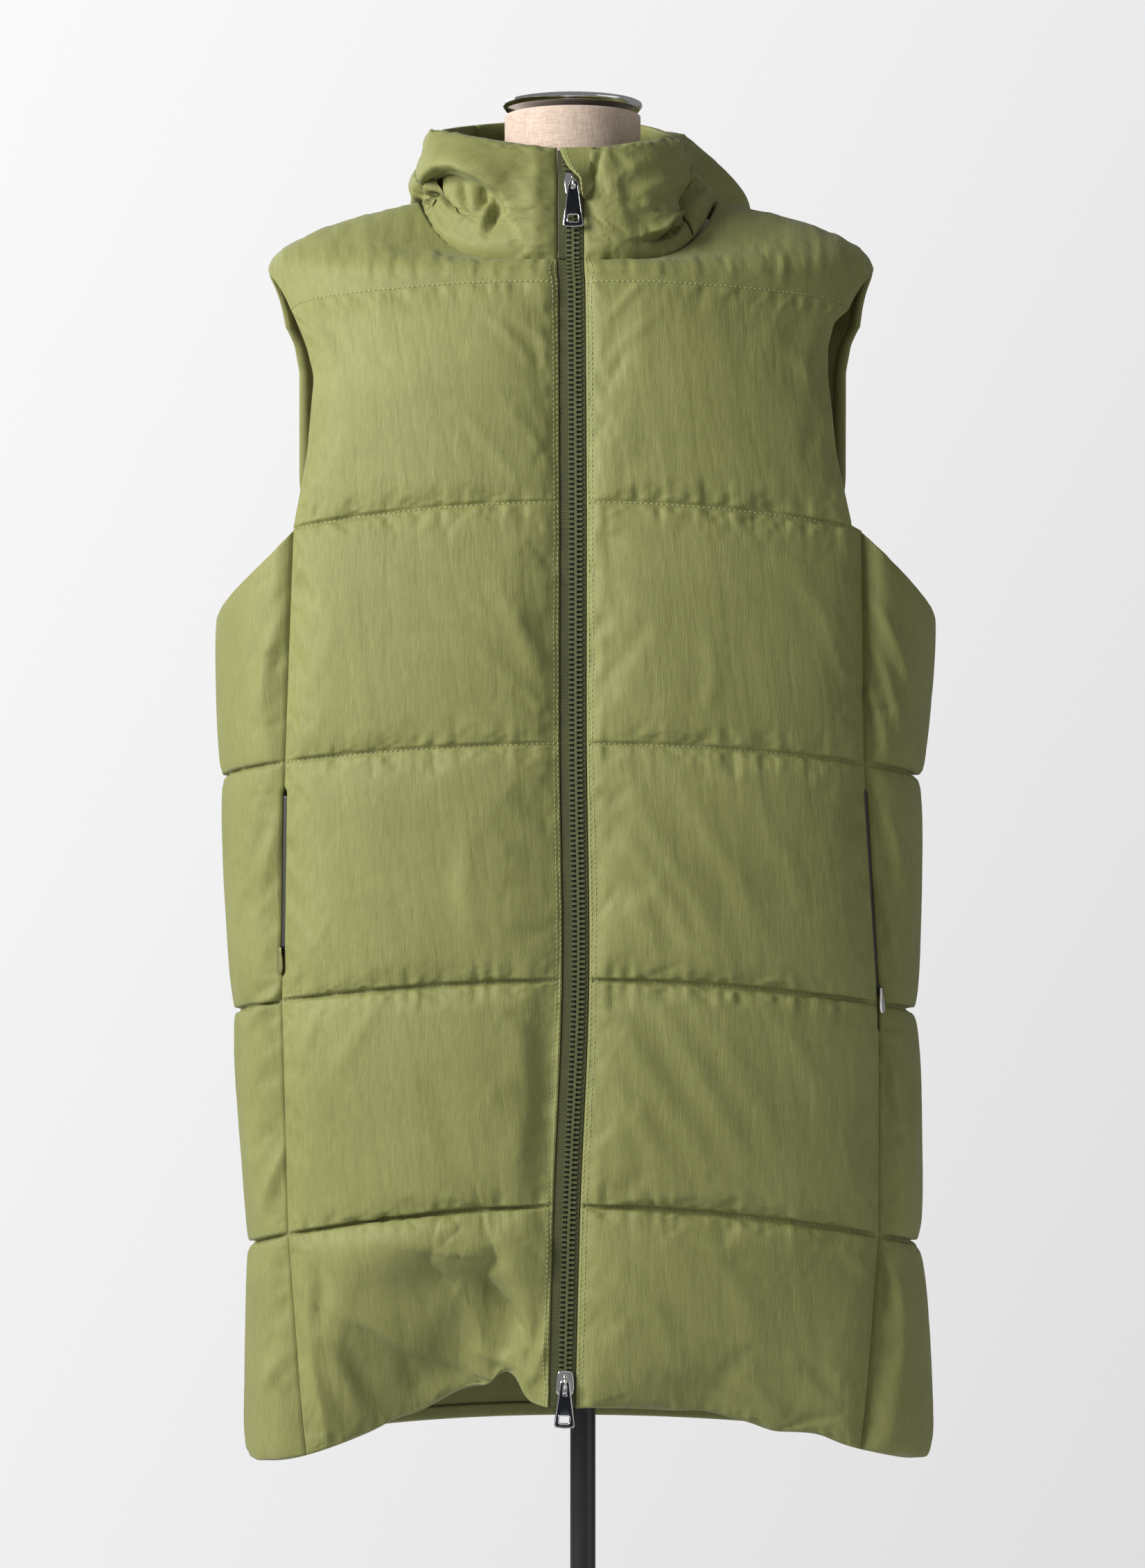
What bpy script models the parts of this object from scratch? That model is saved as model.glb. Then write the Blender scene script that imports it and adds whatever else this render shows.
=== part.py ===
"""Long sleeveless hooded puffer vest, zipped closed, on a limbless dress form with its stand.

Metres, +Z up. The origin is on the floor under the pole. The front faces -Y and left is -X.
The vest's walls are lofts through rings: angle 0 is centre front, +90 degrees is the right side,
-90 degrees the left side and 180 degrees centre back. Level w counts the quilt lines up from the hem.
"""
import math
from collections import namedtuple

import bmesh
import bpy
from mathutils import Matrix, Vector

OBJECT_NAME = "hooded_puffer_vest_on_dress_form"

# Seams and walls
SEAM_GAP = 0.0004            # between the cut edges of two pieces
SEAM_HALF = 0.0015           # half the wall where it is stitched flat
LINING_SHARE = 0.30          # how far the padding swells inward, as a share of outward
EDGE_ROUND = 0.050           # how far from a seam the padding reaches its full height
CENTRE_X = -0.0085           # the form and the vest hang a little left of the pole

# One row for each level of the vest. z_* and depth_* are at centre front, side and centre back.
Level = namedtuple("Level", "z_front z_side z_back half_left half_right "
                            "depth_front depth_back zip_x bow square")
HEM, QUILT_4, QUILT_3, QUILT_2, QUILT_1, YOKE, SHOULDER, RIDGE, NECKLINE = range(9)
VEST = [
    Level(0.4375, 0.376, 0.392, 0.262, 0.284, 0.130, 0.128, -0.0150, 2.0, 2.6),
    Level(0.5990, 0.556, 0.572, 0.261, 0.277, 0.134, 0.131, -0.0110, 2.0, 2.6),
    Level(0.7790, 0.748, 0.760, 0.274, 0.275, 0.136, 0.132, -0.0040, 2.0, 2.6),
    Level(0.9670, 0.941, 0.950, 0.284, 0.279, 0.137, 0.130, -0.0060, 2.0, 2.6),
    Level(1.1590, 1.125, 1.140, 0.284, 0.287, 0.135, 0.124, -0.0060, 2.0, 2.6),
    Level(1.3350, 1.318, 1.325, 0.254, 0.251, 0.119, 0.108, -0.0070, 2.2, 2.5),
    Level(1.3430, 1.3665, 1.362, 0.247, 0.242, 0.113, 0.102, -0.0076, 3.0, 2.4),
    Level(1.3500, 1.3980, 1.400, 0.190, 0.184, 0.108, 0.093, -0.0079, 4.0, 2.2),
    Level(1.3560, 1.4165, 1.430, 0.127, 0.120, 0.104, 0.080, -0.0081, 5.0, 2.1),
]

# Swell of the padding between two levels, in front, at the sides and behind.
Baffle = namedtuple("Baffle", "front side back")
BAFFLES = [
    Baffle(0.0150, 0.0120, 0.0140),
    Baffle(0.0130, 0.0115, 0.0130),
    Baffle(0.0130, 0.0100, 0.0130),
    Baffle(0.0140, 0.0115, 0.0130),
    Baffle(0.0130, 0.0090, 0.0120),
    Baffle(0.0050, 0.0030, 0.0050),
]
ROWS_IN_BAFFLE = (0.0, 0.12, 0.36, 0.64, 0.88)

# Distance from the centre line to the seam between the front and the side panel.
SideSeam = namedtuple("SideSeam", "level left right")
SIDE_SEAM = [
    SideSeam(HEM, 0.213, 0.232),
    SideSeam(QUILT_4, 0.229, 0.247),
    SideSeam(QUILT_3, 0.234, 0.247),
    SideSeam(QUILT_2, 0.231, 0.234),
    SideSeam(QUILT_1, 0.2245, 0.232),
]

# The armhole's edges from the underarm to the shoulder's tip.
Armhole = namedtuple("Armhole", "level front back")
ARMHOLE = [
    Armhole(4.00, 0.2250, 0.2250),
    Armhole(4.30, 0.2140, 0.2330),
    Armhole(4.61, 0.2090, 0.2346),
    Armhole(4.82, 0.2120, 0.2370),
    Armhole(5.00, 0.2240, 0.2420),
]
UNDERARM_DIP = 0.30          # levels that the side panel's top sinks below its seams

# Local rises of the hem
HemFold = namedtuple("HemFold", "angle width lift")
HEM_FOLDS = [
    HemFold(-14.0, 5.0, 0.024),
    HemFold(-50.0, 16.0, -0.009),
    HemFold(50.0, 16.0, -0.004),
]

# The hood lies back and a little to the right: a stand collar in front, an open bag behind.
HoodRow = namedtuple("HoodRow", "z_front z_left z_right z_back half_left half_right "
                               "depth_front depth_back flare_left flare_right")
HOOD = [
    HoodRow(1.3586, 1.4203, 1.4199, 1.4346, 0.1262, 0.1192, 0.1034, 0.080, 0.000, 0.000),
    HoodRow(1.3700, 1.4270, 1.4270, 1.4420, 0.1270, 0.1180, 0.1040, 0.110, 0.004, 0.008),
    HoodRow(1.3830, 1.4350, 1.4350, 1.4000, 0.1265, 0.1130, 0.1018, 0.130, 0.010, 0.026),
    HoodRow(1.3950, 1.4420, 1.4410, 1.3200, 0.1255, 0.1080, 0.0995, 0.146, 0.016, 0.042),
    HoodRow(1.4060, 1.4480, 1.4460, 1.2500, 0.1245, 0.1040, 0.0970, 0.165, 0.020, 0.056),
    HoodRow(1.4170, 1.4540, 1.4510, 1.2380, 0.1240, 0.1015, 0.0944, 0.195, 0.022, 0.066),
    HoodRow(1.4280, 1.4600, 1.4560, 1.3000, 0.1235, 0.0990, 0.0917, 0.228, 0.022, 0.070),
    HoodRow(1.4385, 1.4670, 1.4620, 1.4200, 0.1215, 0.0950, 0.0889, 0.222, 0.018, 0.060),
    HoodRow(1.4480, 1.4740, 1.4680, 1.5120, 0.1175, 0.0900, 0.0860, 0.155, 0.004, 0.006),
]

# The hood's largest folds: where they lie, how far they reach and how far they stand out.
HoodFold = namedtuple("HoodFold", "angle level angle_reach level_reach out")
HOOD_FOLDS = [
    HoodFold(-56.0, 2.4, 17.0, 1.5, -0.018),
    HoodFold(-58.0, 5.8, 30.0, 1.6, 0.007),
    HoodFold(66.0, 1.6, 12.0, 1.0, -0.011),
    HoodFold(45.0, 4.6, 26.0, 1.8, 0.004),
]
HOOD_SQUARE = 2.1
HOOD_BOW = 4.7
HOOD_BAG = 2.2
HOOD_FLARE_FROM = 0.16        # how far behind the side the bag starts to widen
HOOD_HALF_WALL = 0.0035
HOOD_SEAM_LEFT = 138.0
HOOD_SEAM_RIGHT = 101.0

# Centre zip
EDGE_LEFT = 0.0130           # from the zip's centre to the left front's edge
EDGE_RIGHT = 0.0088
CHAIN_HALF = 0.0056
CHAIN_THICK = 0.0036
TAPE_THICK = 0.0010
SLIDER_CORE = 0.0052
SLIDER_HALF = 0.0072
SLIDER_LENGTH = 0.0200
PLATE_THICK = 0.0018
PLATE_CLEAR = 0.0009         # from the tape's middle to a slider plate
BAR_OFFSET = 0.0062          # from the tape's middle to the pull's crossbar
TOP_SLIDER_Z = 1.4175
BOTTOM_SLIDER_Z = 0.4580

# Pocket zips, in the side seams
Pocket = namedtuple("Pocket", "side open_low open_high zip_low zip_high")
POCKETS = [Pocket(-1, 2.12, 2.88, 2.20, 2.86), Pocket(1, 1.88, 2.88, 2.04, 2.90)]
POCKET_HALF = 0.0018         # half the zip's width
POCKET_OPEN = 0.0022         # how far each panel's edge stands back from the seam line

# Dress form and stand
NECK_RADIUS = 0.0564
NECK_BASE_Z = 1.4200
NECK_TOP_Z = 1.4970
RIM_RADIUS = 0.0579
RIM_HEIGHT = 0.0105
POLE_RADIUS = 0.0105
BASE_RADIUS = 0.1750
BASE_THICK = 0.0140
FormRow = namedtuple("FormRow", "z half front back")
FORM = [
    FormRow(0.722, 0.150, 0.102, 0.106),
    FormRow(0.745, 0.166, 0.112, 0.118),
    FormRow(0.840, 0.176, 0.116, 0.119),
    FormRow(0.940, 0.158, 0.104, 0.108),
    FormRow(1.050, 0.130, 0.090, 0.088),
    FormRow(1.140, 0.146, 0.103, 0.094),
    FormRow(1.220, 0.166, 0.113, 0.094),
    FormRow(1.290, 0.178, 0.100, 0.088),
    FormRow(1.335, 0.186, 0.090, 0.082),
]
FORM_DROP = 0.0056           # shoulders below the cloth's middle

GREEN = (0.235, 0.250, 0.085, 1.0)
DARK_GREEN = (0.085, 0.100, 0.035, 1.0)
LINEN = (0.66, 0.48, 0.36, 1.0)
CHROME = (0.80, 0.80, 0.80, 1.0)
GUNMETAL = (0.10, 0.11, 0.13, 1.0)
BLACK = (0.012, 0.012, 0.014, 1.0)


# ---------------------------------------------------------------- scene and helpers
def clear_scene():
    for old in list(bpy.data.objects):
        bpy.data.objects.remove(old, do_unlink=True)


def new_collection(name):
    collection = bpy.data.collections.new(name)
    bpy.context.scene.collection.children.link(collection)
    return collection


def material(name, colour, roughness, metallic=0.0):
    made = bpy.data.materials.get(name)
    if made:
        return made
    made = bpy.data.materials.new(name)
    made.use_nodes = True
    shader = made.node_tree.nodes["Principled BSDF"]
    shader.inputs["Base Color"].default_value = colour
    shader.inputs["Roughness"].default_value = roughness
    shader.inputs["Metallic"].default_value = metallic
    return made


def add_object(name, mesh, finish, collection):
    made = bpy.data.objects.new(name, mesh)
    mesh.materials.append(finish)
    collection.objects.link(made)
    return made


def mesh_from(name, build):
    """A mesh filled by build(bm), with its faces turned outward."""
    mesh = bpy.data.meshes.new(name)
    bm = bmesh.new()
    build(bm)
    bmesh.ops.recalc_face_normals(bm, faces=bm.faces)
    bm.to_mesh(mesh)
    bm.free()
    return mesh


def spline_mix(rows, at):
    """The rows' values at a fractional row number, on a smooth curve through the rows."""
    last = len(rows) - 1
    at = min(max(at, 0.0), float(last))
    low = min(int(at), last - 1)
    t = at - low
    before = rows[max(low - 1, 0)]
    after = rows[min(low + 2, last)]
    mixed = []
    for a, b, c, d in zip(before, rows[low], rows[low + 1], after):
        start = (c - a) / 2
        finish = (d - b) / 2
        value = (2 * t**3 - 3 * t**2 + 1) * b + (t**3 - 2 * t**2 + t) * start
        value += (3 * t**2 - 2 * t**3) * c + (t**3 - t**2) * finish
        mixed.append(value)
    return type(rows[0])(*mixed)


def table_mix(rows, level, column):
    """A column's value at a level, straight between rows."""
    if level <= rows[0].level:
        return getattr(rows[0], column)
    for low, high in zip(rows, rows[1:]):
        if level <= high.level:
            share = (level - low.level) / (high.level - low.level)
            return getattr(low, column) * (1 - share) + getattr(high, column) * share
    return getattr(rows[-1], column)


def wall_mesh(name, outer, inner):
    """A closed wall between two grids of points, outer[row][column] and inner[row][column]."""
    def build(bm):
        top = [[bm.verts.new(p) for p in row] for row in outer]
        low = [[bm.verts.new(p) for p in row] for row in inner]
        rows = len(top)
        columns = len(top[0])
        for r in range(rows - 1):
            for c in range(columns - 1):
                bm.faces.new((top[r][c], top[r][c + 1], top[r + 1][c + 1], top[r + 1][c]))
                bm.faces.new((low[r][c], low[r + 1][c], low[r + 1][c + 1], low[r][c + 1]))
        for r in range(rows - 1):
            for c in (0, columns - 1):
                bm.faces.new((top[r][c], top[r + 1][c], low[r + 1][c], low[r][c]))
        for c in range(columns - 1):
            for r in (0, rows - 1):
                bm.faces.new((top[r][c], low[r][c], low[r][c + 1], top[r][c + 1]))
    return mesh_from(name, build)


# ---------------------------------------------------------------- the vest's surface
def squared_radius(angle, square):
    return (abs(math.sin(angle)) ** square + abs(math.cos(angle)) ** square) ** (-1 / square)


def vest_point(angle, level):
    """A point of the cloth's middle. The angle is in radians."""
    row = spline_mix(VEST, level)
    sine = math.sin(angle)
    cosine = math.cos(angle)
    radius = squared_radius(angle, row.square)
    half = row.half_right if sine > 0 else row.half_left
    depth = row.depth_front if cosine > 0 else row.depth_back
    shift = (row.zip_x - CENTRE_X) * max(cosine, 0.0) ** 6
    if cosine > 0:
        z = row.z_front + (row.z_side - row.z_front) * abs(sine) ** row.bow
    else:
        z = row.z_back + (row.z_side - row.z_back) * sine**2
    fade = max(0.0, 1 - level) ** 2
    for fold in HEM_FOLDS:
        apart = (math.degrees(angle) - fold.angle) / fold.width
        z += fold.lift * math.exp(-apart**2) * fade
    return Vector((CENTRE_X + shift + half * radius * sine, -depth * radius * cosine, z))


def surface_normal(surface, angle, level, top):
    """The outward normal of a surface given as surface(angle, level)."""
    step = 0.02
    low = max(level - step, 0.0)
    high = min(level + step, top)
    across = surface(angle + 0.01, level) - surface(angle - 0.01, level)
    along = surface(angle, high) - surface(angle, low)
    return across.cross(along).normalized()


def vest_offset(angle, level, out):
    return vest_point(angle, level) + surface_normal(vest_point, angle, level, NECKLINE) * out


def angle_at(distance, level, side):
    """The angle in front at which the ring is this far from the centre line."""
    row = spline_mix(VEST, level)
    half = row.half_right if side > 0 else row.half_left
    share = min(distance / half, 0.9999)
    other = (1 - share**row.square) ** (1 / row.square)
    return math.atan2(share, other)


def edge_angle(side, level):
    """The front panel's edge along the zip."""
    edge = EDGE_RIGHT if side > 0 else EDGE_LEFT
    row = spline_mix(VEST, level)
    half = row.half_right if side > 0 else row.half_left
    return edge / half


def pocket_opening(side, level):
    """How far a panel's edge stands back from the seam line for the pocket zip."""
    for pocket in POCKETS:
        if pocket.side == side and pocket.open_low <= level <= pocket.open_high:
            return POCKET_OPEN
    return 0.0


def seam_angle(side, level):
    """Where the front panel ends: the side seam, the armhole, then the shoulder seam."""
    if level <= QUILT_1:
        return angle_at(table_mix(SIDE_SEAM, level, "right" if side > 0 else "left"), level, side)
    if level <= YOKE:
        return angle_at(table_mix(ARMHOLE, level, "front"), level, side)
    share = min(1.0, (level - YOKE) / (SHOULDER - YOKE))
    start = angle_at(ARMHOLE[-1].front, YOKE, side)
    return start + (math.pi / 2 - start) * share


def back_seam_angle(side, level):
    """Where the back panel ends, measured from centre front."""
    if level <= QUILT_1:
        return math.pi - seam_angle(side, level)
    if level <= YOKE:
        return math.pi - angle_at(table_mix(ARMHOLE, level, "back"), level, side)
    share = min(1.0, (level - YOKE) / (SHOULDER - YOKE))
    start = math.pi - angle_at(ARMHOLE[-1].back, YOKE, side)
    return start + (math.pi / 2 - start) * share


def gap_angle(side, level, gap):
    row = spline_mix(VEST, level)
    return gap / (0.8 * (row.half_right if side > 0 else row.half_left))


def swell(angle, level, from_edge):
    """Height of the padding above the stitched wall."""
    index = min(int(level), len(BAFFLES) - 1)
    baffle = BAFFLES[index]
    share = level - index
    side = math.sin(angle) ** 2
    flat = baffle.front if math.cos(angle) > 0 else baffle.back
    height = flat * (1 - side) + baffle.side * side
    crown = math.sqrt(max(0.0, 4 * share * (1 - share)))
    if level >= YOKE:
        crown = math.sin(math.pi * (level - YOKE) / (NECKLINE - YOKE))
    return height * crown * math.sin(math.pi / 2 * min(1.0, from_edge / EDGE_ROUND))


def levels_between(low, high):
    levels = []
    for index in range(int(low), int(math.ceil(high))):
        levels += [index + share for share in ROWS_IN_BAFFLE]
    return [level for level in levels if level < high] + [high]


def padded_grids(columns, start_angle, end_angle, row_levels, top_curve=None):
    """A quilted panel's outer and inner points, between two edge angles at each level."""
    outer = []
    inner = []
    for level in row_levels:
        outer_row = []
        inner_row = []
        for column in columns:
            first = start_angle(level)
            last = end_angle(level)
            angle = first + (last - first) * column
            at = top_curve(angle, level) if top_curve else level
            width = (vest_point(first, at) - vest_point(last, at)).length
            from_edge = min(column, 1 - column) * width
            height = swell(angle, at, from_edge)
            outer_row.append(vest_offset(angle, at, SEAM_HALF + height))
            inner_row.append(vest_offset(angle, at, -SEAM_HALF - LINING_SHARE * height))
        outer.append(outer_row)
        inner.append(inner_row)
    return outer, inner


FRONT_COLUMNS = (0.0, 0.06, 0.2, 0.4, 0.62, 0.82, 0.94, 1.0)
SIDE_COLUMNS = (0.0, 0.1, 0.3, 0.5, 0.7, 0.9, 1.0)
BACK_COLUMNS = (0.0, 0.04, 0.14, 0.28, 0.42, 0.58, 0.72, 0.86, 0.96, 1.0)


def build_front(name, side, cloth, collection):
    def first(level):
        return side * edge_angle(side, level)

    def last(level):
        stand_back = SEAM_GAP / 2 + pocket_opening(side, level)
        return side * (seam_angle(side, level) - gap_angle(side, level, stand_back))

    outer, inner = padded_grids(FRONT_COLUMNS, first, last, levels_between(HEM, NECKLINE))
    add_object(name, wall_mesh(name, outer, inner), cloth, collection)


def build_side(name, side, cloth, collection):
    def first(level):
        level = min(level, QUILT_1)
        stand_back = SEAM_GAP / 2 + pocket_opening(side, level)
        return side * (seam_angle(side, level) + gap_angle(side, level, stand_back))

    def last(level):
        level = min(level, QUILT_1)
        return side * (back_seam_angle(side, level) - gap_angle(side, level, SEAM_GAP / 2))

    def top(angle, level):
        if level <= QUILT_2:
            return level
        low = seam_angle(side, QUILT_1)
        share = (abs(angle) - low) / (math.pi - 2 * low)
        dip = UNDERARM_DIP * math.sin(math.pi * min(max(share, 0.0), 1.0))
        return QUILT_2 + (level - QUILT_2) * (1 - dip)

    rows = levels_between(HEM, QUILT_1)
    outer, inner = padded_grids(SIDE_COLUMNS, first, last, rows, top)
    add_object(name, wall_mesh(name, outer, inner), cloth, collection)


def back_grids():
    def first(level):
        return back_seam_angle(1, level) + gap_angle(1, level, SEAM_GAP / 2)

    def last(level):
        return 2 * math.pi - back_seam_angle(-1, level) - gap_angle(-1, level, SEAM_GAP / 2)

    return padded_grids(BACK_COLUMNS, first, last, levels_between(HEM, NECKLINE))


def build_back(name, cloth, collection):
    outer, inner = back_grids()
    add_object(name, wall_mesh(name, outer, inner), cloth, collection)


# ---------------------------------------------------------------- the hood
def hood_smooth_point(angle, level):
    """A point of the hood's wall before its folds."""
    row = spline_mix(HOOD, level)
    sine = math.sin(angle)
    cosine = math.cos(angle)
    radius = squared_radius(angle, HOOD_SQUARE)
    half = row.half_right if sine > 0 else row.half_left
    z_side = row.z_right if sine > 0 else row.z_left
    flare = row.flare_right if sine > 0 else row.flare_left
    depth = row.depth_front if cosine > 0 else row.depth_back
    shift = (VEST[NECKLINE].zip_x - CENTRE_X) * max(cosine, 0.0) ** 6
    if cosine > 0:
        z = row.z_front + (z_side - row.z_front) * abs(sine) ** HOOD_BOW
        wide = 0.0
    else:
        z = z_side + (row.z_back - z_side) * (-cosine) ** HOOD_BAG
        start = min(1.0, max(0.0, (-cosine - HOOD_FLARE_FROM) / 0.34))
        wide = flare * math.sin(2 * angle) * start**2 * (3 - 2 * start)
    x = CENTRE_X + shift + half * radius * sine - wide
    return Vector((x, -depth * radius * cosine, z))


def hood_point(angle, level):
    point = hood_smooth_point(angle, level)
    degrees = math.degrees(angle)
    out = 0.0
    for fold in HOOD_FOLDS:
        across = (degrees - fold.angle) / fold.angle_reach
        up = (level - fold.level) / fold.level_reach
        out += fold.out * math.exp(-across**2 - up**2)
    edge = min(1.0, level, 0.5 + (HOOD_TOP - level) / 2)
    away = Vector((point.x - CENTRE_X, point.y, 0.0)).normalized()
    return point + away * out * edge


HOOD_TOP = len(HOOD) - 1
HOOD_COLUMNS = 11
HOOD_GAP = 0.0026              # radians from a seam's line to each cut edge
HOOD_ROWS_PER_LEVEL = 2


def hood_wall(name, start_angle, end_angle, columns):
    outer = []
    inner = []
    rows = HOOD_TOP * HOOD_ROWS_PER_LEVEL
    for r in range(rows + 1):
        level = r / HOOD_ROWS_PER_LEVEL
        first = start_angle(level)
        last = end_angle(level)
        row_share = math.sin(math.pi * r / rows) ** 0.5
        outer_row = []
        inner_row = []
        for c in range(columns + 1):
            angle = first + (last - first) * c / columns
            share = row_share * math.sin(math.pi * c / columns) ** 0.5
            thick = SEAM_HALF + (HOOD_HALF_WALL - SEAM_HALF) * share
            normal = surface_normal(hood_point, angle, level, HOOD_TOP)
            middle = hood_point(angle, level)
            outer_row.append(middle + normal * thick)
            inner_row.append(middle - normal * thick)
        outer.append(outer_row)
        inner.append(inner_row)
    return wall_mesh(name, outer, inner)


def hood_edge_angle(side, level):
    edge = EDGE_RIGHT if side > 0 else EDGE_LEFT
    row = spline_mix(HOOD, level)
    return edge / (row.half_right if side > 0 else row.half_left)


def hood_seam(side):
    return math.radians(HOOD_SEAM_RIGHT if side > 0 else HOOD_SEAM_LEFT)


def build_hood_side(name, side, cloth, collection):
    def first(level):
        return side * hood_edge_angle(side, level)

    def last(level):
        return side * (hood_seam(side) - HOOD_GAP)

    add_object(name, hood_wall(name, first, last, HOOD_COLUMNS), cloth, collection)


def build_hood_centre(name, cloth, collection):
    def first(level):
        return hood_seam(1) + HOOD_GAP

    def last(level):
        return 2 * math.pi - hood_seam(-1) - HOOD_GAP

    add_object(name, hood_wall(name, first, last, HOOD_COLUMNS), cloth, collection)


# ---------------------------------------------------------------- the centre zip
def zip_route():
    """The zip's line up the front and the collar."""
    points = [vest_point(0.0, step / 4) for step in range(4 * NECKLINE)]
    points.append((vest_point(0.0, NECKLINE) + hood_point(0.0, 0)) / 2)
    points += [hood_point(0.0, step) for step in range(1, HOOD_TOP + 1)]
    return points


def route_at_height(route, z):
    """The point of the route at a height, with the direction of the route there."""
    for low, high in zip(route, route[1:]):
        if low.z <= z <= high.z:
            share = (z - low.z) / (high.z - low.z)
            return low.lerp(high, share), (high - low).normalized()
    return route[-1], (route[-1] - route[-2]).normalized()


def ribbon(name, route, from_x, to_x, back, front, finish, collection):
    """A strip along the route, between two distances sideways and two distances outward."""
    outer = []
    inner = []
    for index, point in enumerate(route):
        low = route[max(index - 1, 0)]
        high = route[min(index + 1, len(route) - 1)]
        along = (high - low).normalized()
        out = Vector((1, 0, 0)).cross(along).normalized()
        outer.append([point + Vector((x, 0, 0)) + out * front for x in (from_x, to_x)])
        inner.append([point + Vector((x, 0, 0)) + out * back for x in (from_x, to_x)])
    add_object(name, wall_mesh(name, outer, inner), finish, collection)


def cut_route(route, low_z, high_z):
    start = route_at_height(route, low_z)[0]
    end = route_at_height(route, high_z)[0]
    return [start] + [p for p in route if low_z + 0.002 < p.z < high_z - 0.002] + [end]


def frame_matrix(point, along):
    """Local X to the right, local Y up the zip, local Z outward."""
    across = Vector((1, 0, 0))
    out = across.cross(along).normalized()
    across = along.cross(out).normalized()
    turn = Matrix((across, along, out)).transposed().to_4x4()
    return Matrix.Translation(point) @ turn


def box_into(bm, low, high):
    """A box between two corners, in the object's own frame."""
    made = bmesh.ops.create_cube(bm, size=1.0)
    centre = (Vector(low) + Vector(high)) / 2
    size = Vector(high) - Vector(low)
    for vert in made["verts"]:
        vert.co = Vector((vert.co.x * size.x, vert.co.y * size.y, vert.co.z * size.z)) + centre


def cutter_or_part(name, build, matrix, finish, collection):
    made = add_object(name, mesh_from(name, build), finish, collection)
    made.matrix_world = matrix
    return made


def join_by_boolean(target, tools, operation="UNION"):
    for index, tool in enumerate(tools):
        tool.hide_render = True
        tool.display_type = "WIRE"
        change = target.modifiers.new("step_%d" % index, "BOOLEAN")
        change.operation = operation
        change.solver = "EXACT"
        change.object = tool


def build_slider(name, matrix, finish, collection, cutters):
    """Two plates on a core that runs between the tapes, with a bridge for the pull."""
    half_length = SLIDER_LENGTH / 2
    front = PLATE_CLEAR + PLATE_THICK

    def core(bm):
        box_into(bm, (-SLIDER_CORE, -half_length, -front + 0.0002),
                 (SLIDER_CORE, half_length, front - 0.0002))

    def plate(sign):
        def build(bm):
            inner, outer = PLATE_CLEAR * sign, front * sign
            box_into(bm, (-SLIDER_HALF, -half_length, min(inner, outer)),
                     (SLIDER_HALF, half_length, max(inner, outer)))
        return build

    bridge_half = 0.0042
    foot = 0.0012
    top = BAR_OFFSET + 0.0026

    def foot_at(sign):
        def build(bm):
            a, b = sorted((sign * bridge_half, sign * (bridge_half - foot)))
            box_into(bm, (-0.0012, a, front - 0.0005), (0.0012, b, top))
        return build

    def bridge(bm):
        box_into(bm, (-0.0012, -bridge_half, BAR_OFFSET + 0.0012), (0.0012, bridge_half, top))

    body = cutter_or_part(name, core, matrix, finish, collection)
    shapes = [("plate_front", plate(1)), ("plate_back", plate(-1)), ("foot_up", foot_at(1)),
              ("foot_down", foot_at(-1)), ("bridge", bridge)]
    tools = [cutter_or_part("%s_%s" % (name, label), shape, matrix, finish, cutters)
             for label, shape in shapes]
    join_by_boolean(body, tools)


def build_pull(name, matrix, length, half_top, half_low, thick, window, finish, collection, cutters):
    """A tapered tab hanging from its crossbar, which is at the object's origin."""
    def plate(bm):
        corners = [(-half_top, 0.0010), (half_top, 0.0010), (half_low, -length + 0.0012),
                   (half_low - 0.0012, -length), (-half_low + 0.0012, -length),
                   (-half_low, -length + 0.0012)]
        low = [bm.verts.new((x, y, -thick / 2)) for x, y in corners]
        high = [bm.verts.new((x, y, thick / 2)) for x, y in corners]
        bm.faces.new(low)
        bm.faces.new(high)
        count = len(corners)
        for i in range(count):
            j = (i + 1) % count
            bm.faces.new((low[i], low[j], high[j], high[i]))

    def eye(bm):
        box_into(bm, (-0.0019, -0.0056, -thick), (0.0019, -0.0008, thick))

    def opening(bm):
        centre, half_x, half_y = window
        box_into(bm, (-half_x, centre - half_y, -thick), (half_x, centre + half_y, thick))

    body = cutter_or_part(name, plate, matrix, finish, collection)
    tools = [cutter_or_part(name + "_eye", eye, matrix, finish, cutters)]
    if window:
        tools.append(cutter_or_part(name + "_window", opening, matrix, finish, cutters))
    join_by_boolean(body, tools, "DIFFERENCE")


def build_zip(cloth, tooth, silver, gunmetal, collection, cutters):
    route = zip_route()
    tape = TAPE_THICK / 2
    ribbon("zip_tape_left", route, -EDGE_LEFT + SEAM_GAP, -CHAIN_HALF - 0.0003, -tape, tape,
           cloth, collection)
    ribbon("zip_tape_right", route, CHAIN_HALF + 0.0003, EDGE_RIGHT - SEAM_GAP, -tape, tape,
           cloth, collection)
    top = TOP_SLIDER_Z - SLIDER_LENGTH / 2 - 0.0006
    low = BOTTOM_SLIDER_Z + SLIDER_LENGTH / 2 + 0.0006
    ribbon("zip_chain", cut_route(route, low, top), -CHAIN_HALF, CHAIN_HALF,
           -CHAIN_THICK / 2, CHAIN_THICK / 2, tooth, collection)
    for name, z, length in (("top", TOP_SLIDER_Z, 0.0370), ("bottom", BOTTOM_SLIDER_Z, 0.0350)):
        point, along = route_at_height(route, z)
        matrix = frame_matrix(point, along)
        build_slider("zip_slider_" + name, matrix, silver, collection, cutters)
        hinge = matrix @ Matrix.Translation((0.0, 0.0, BAR_OFFSET))
        build_pull("zip_pull_" + name, hinge, length, 0.0032, 0.0078, 0.0014,
                   (-length + 0.0075, 0.0048, 0.0030), gunmetal, collection, cutters)


GUARD_HALF = 0.0009
GUARD_CLEAR = 0.0105         # over the slider
GUARD_SEAT = 0.0032          # where it lies on the collar


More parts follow.
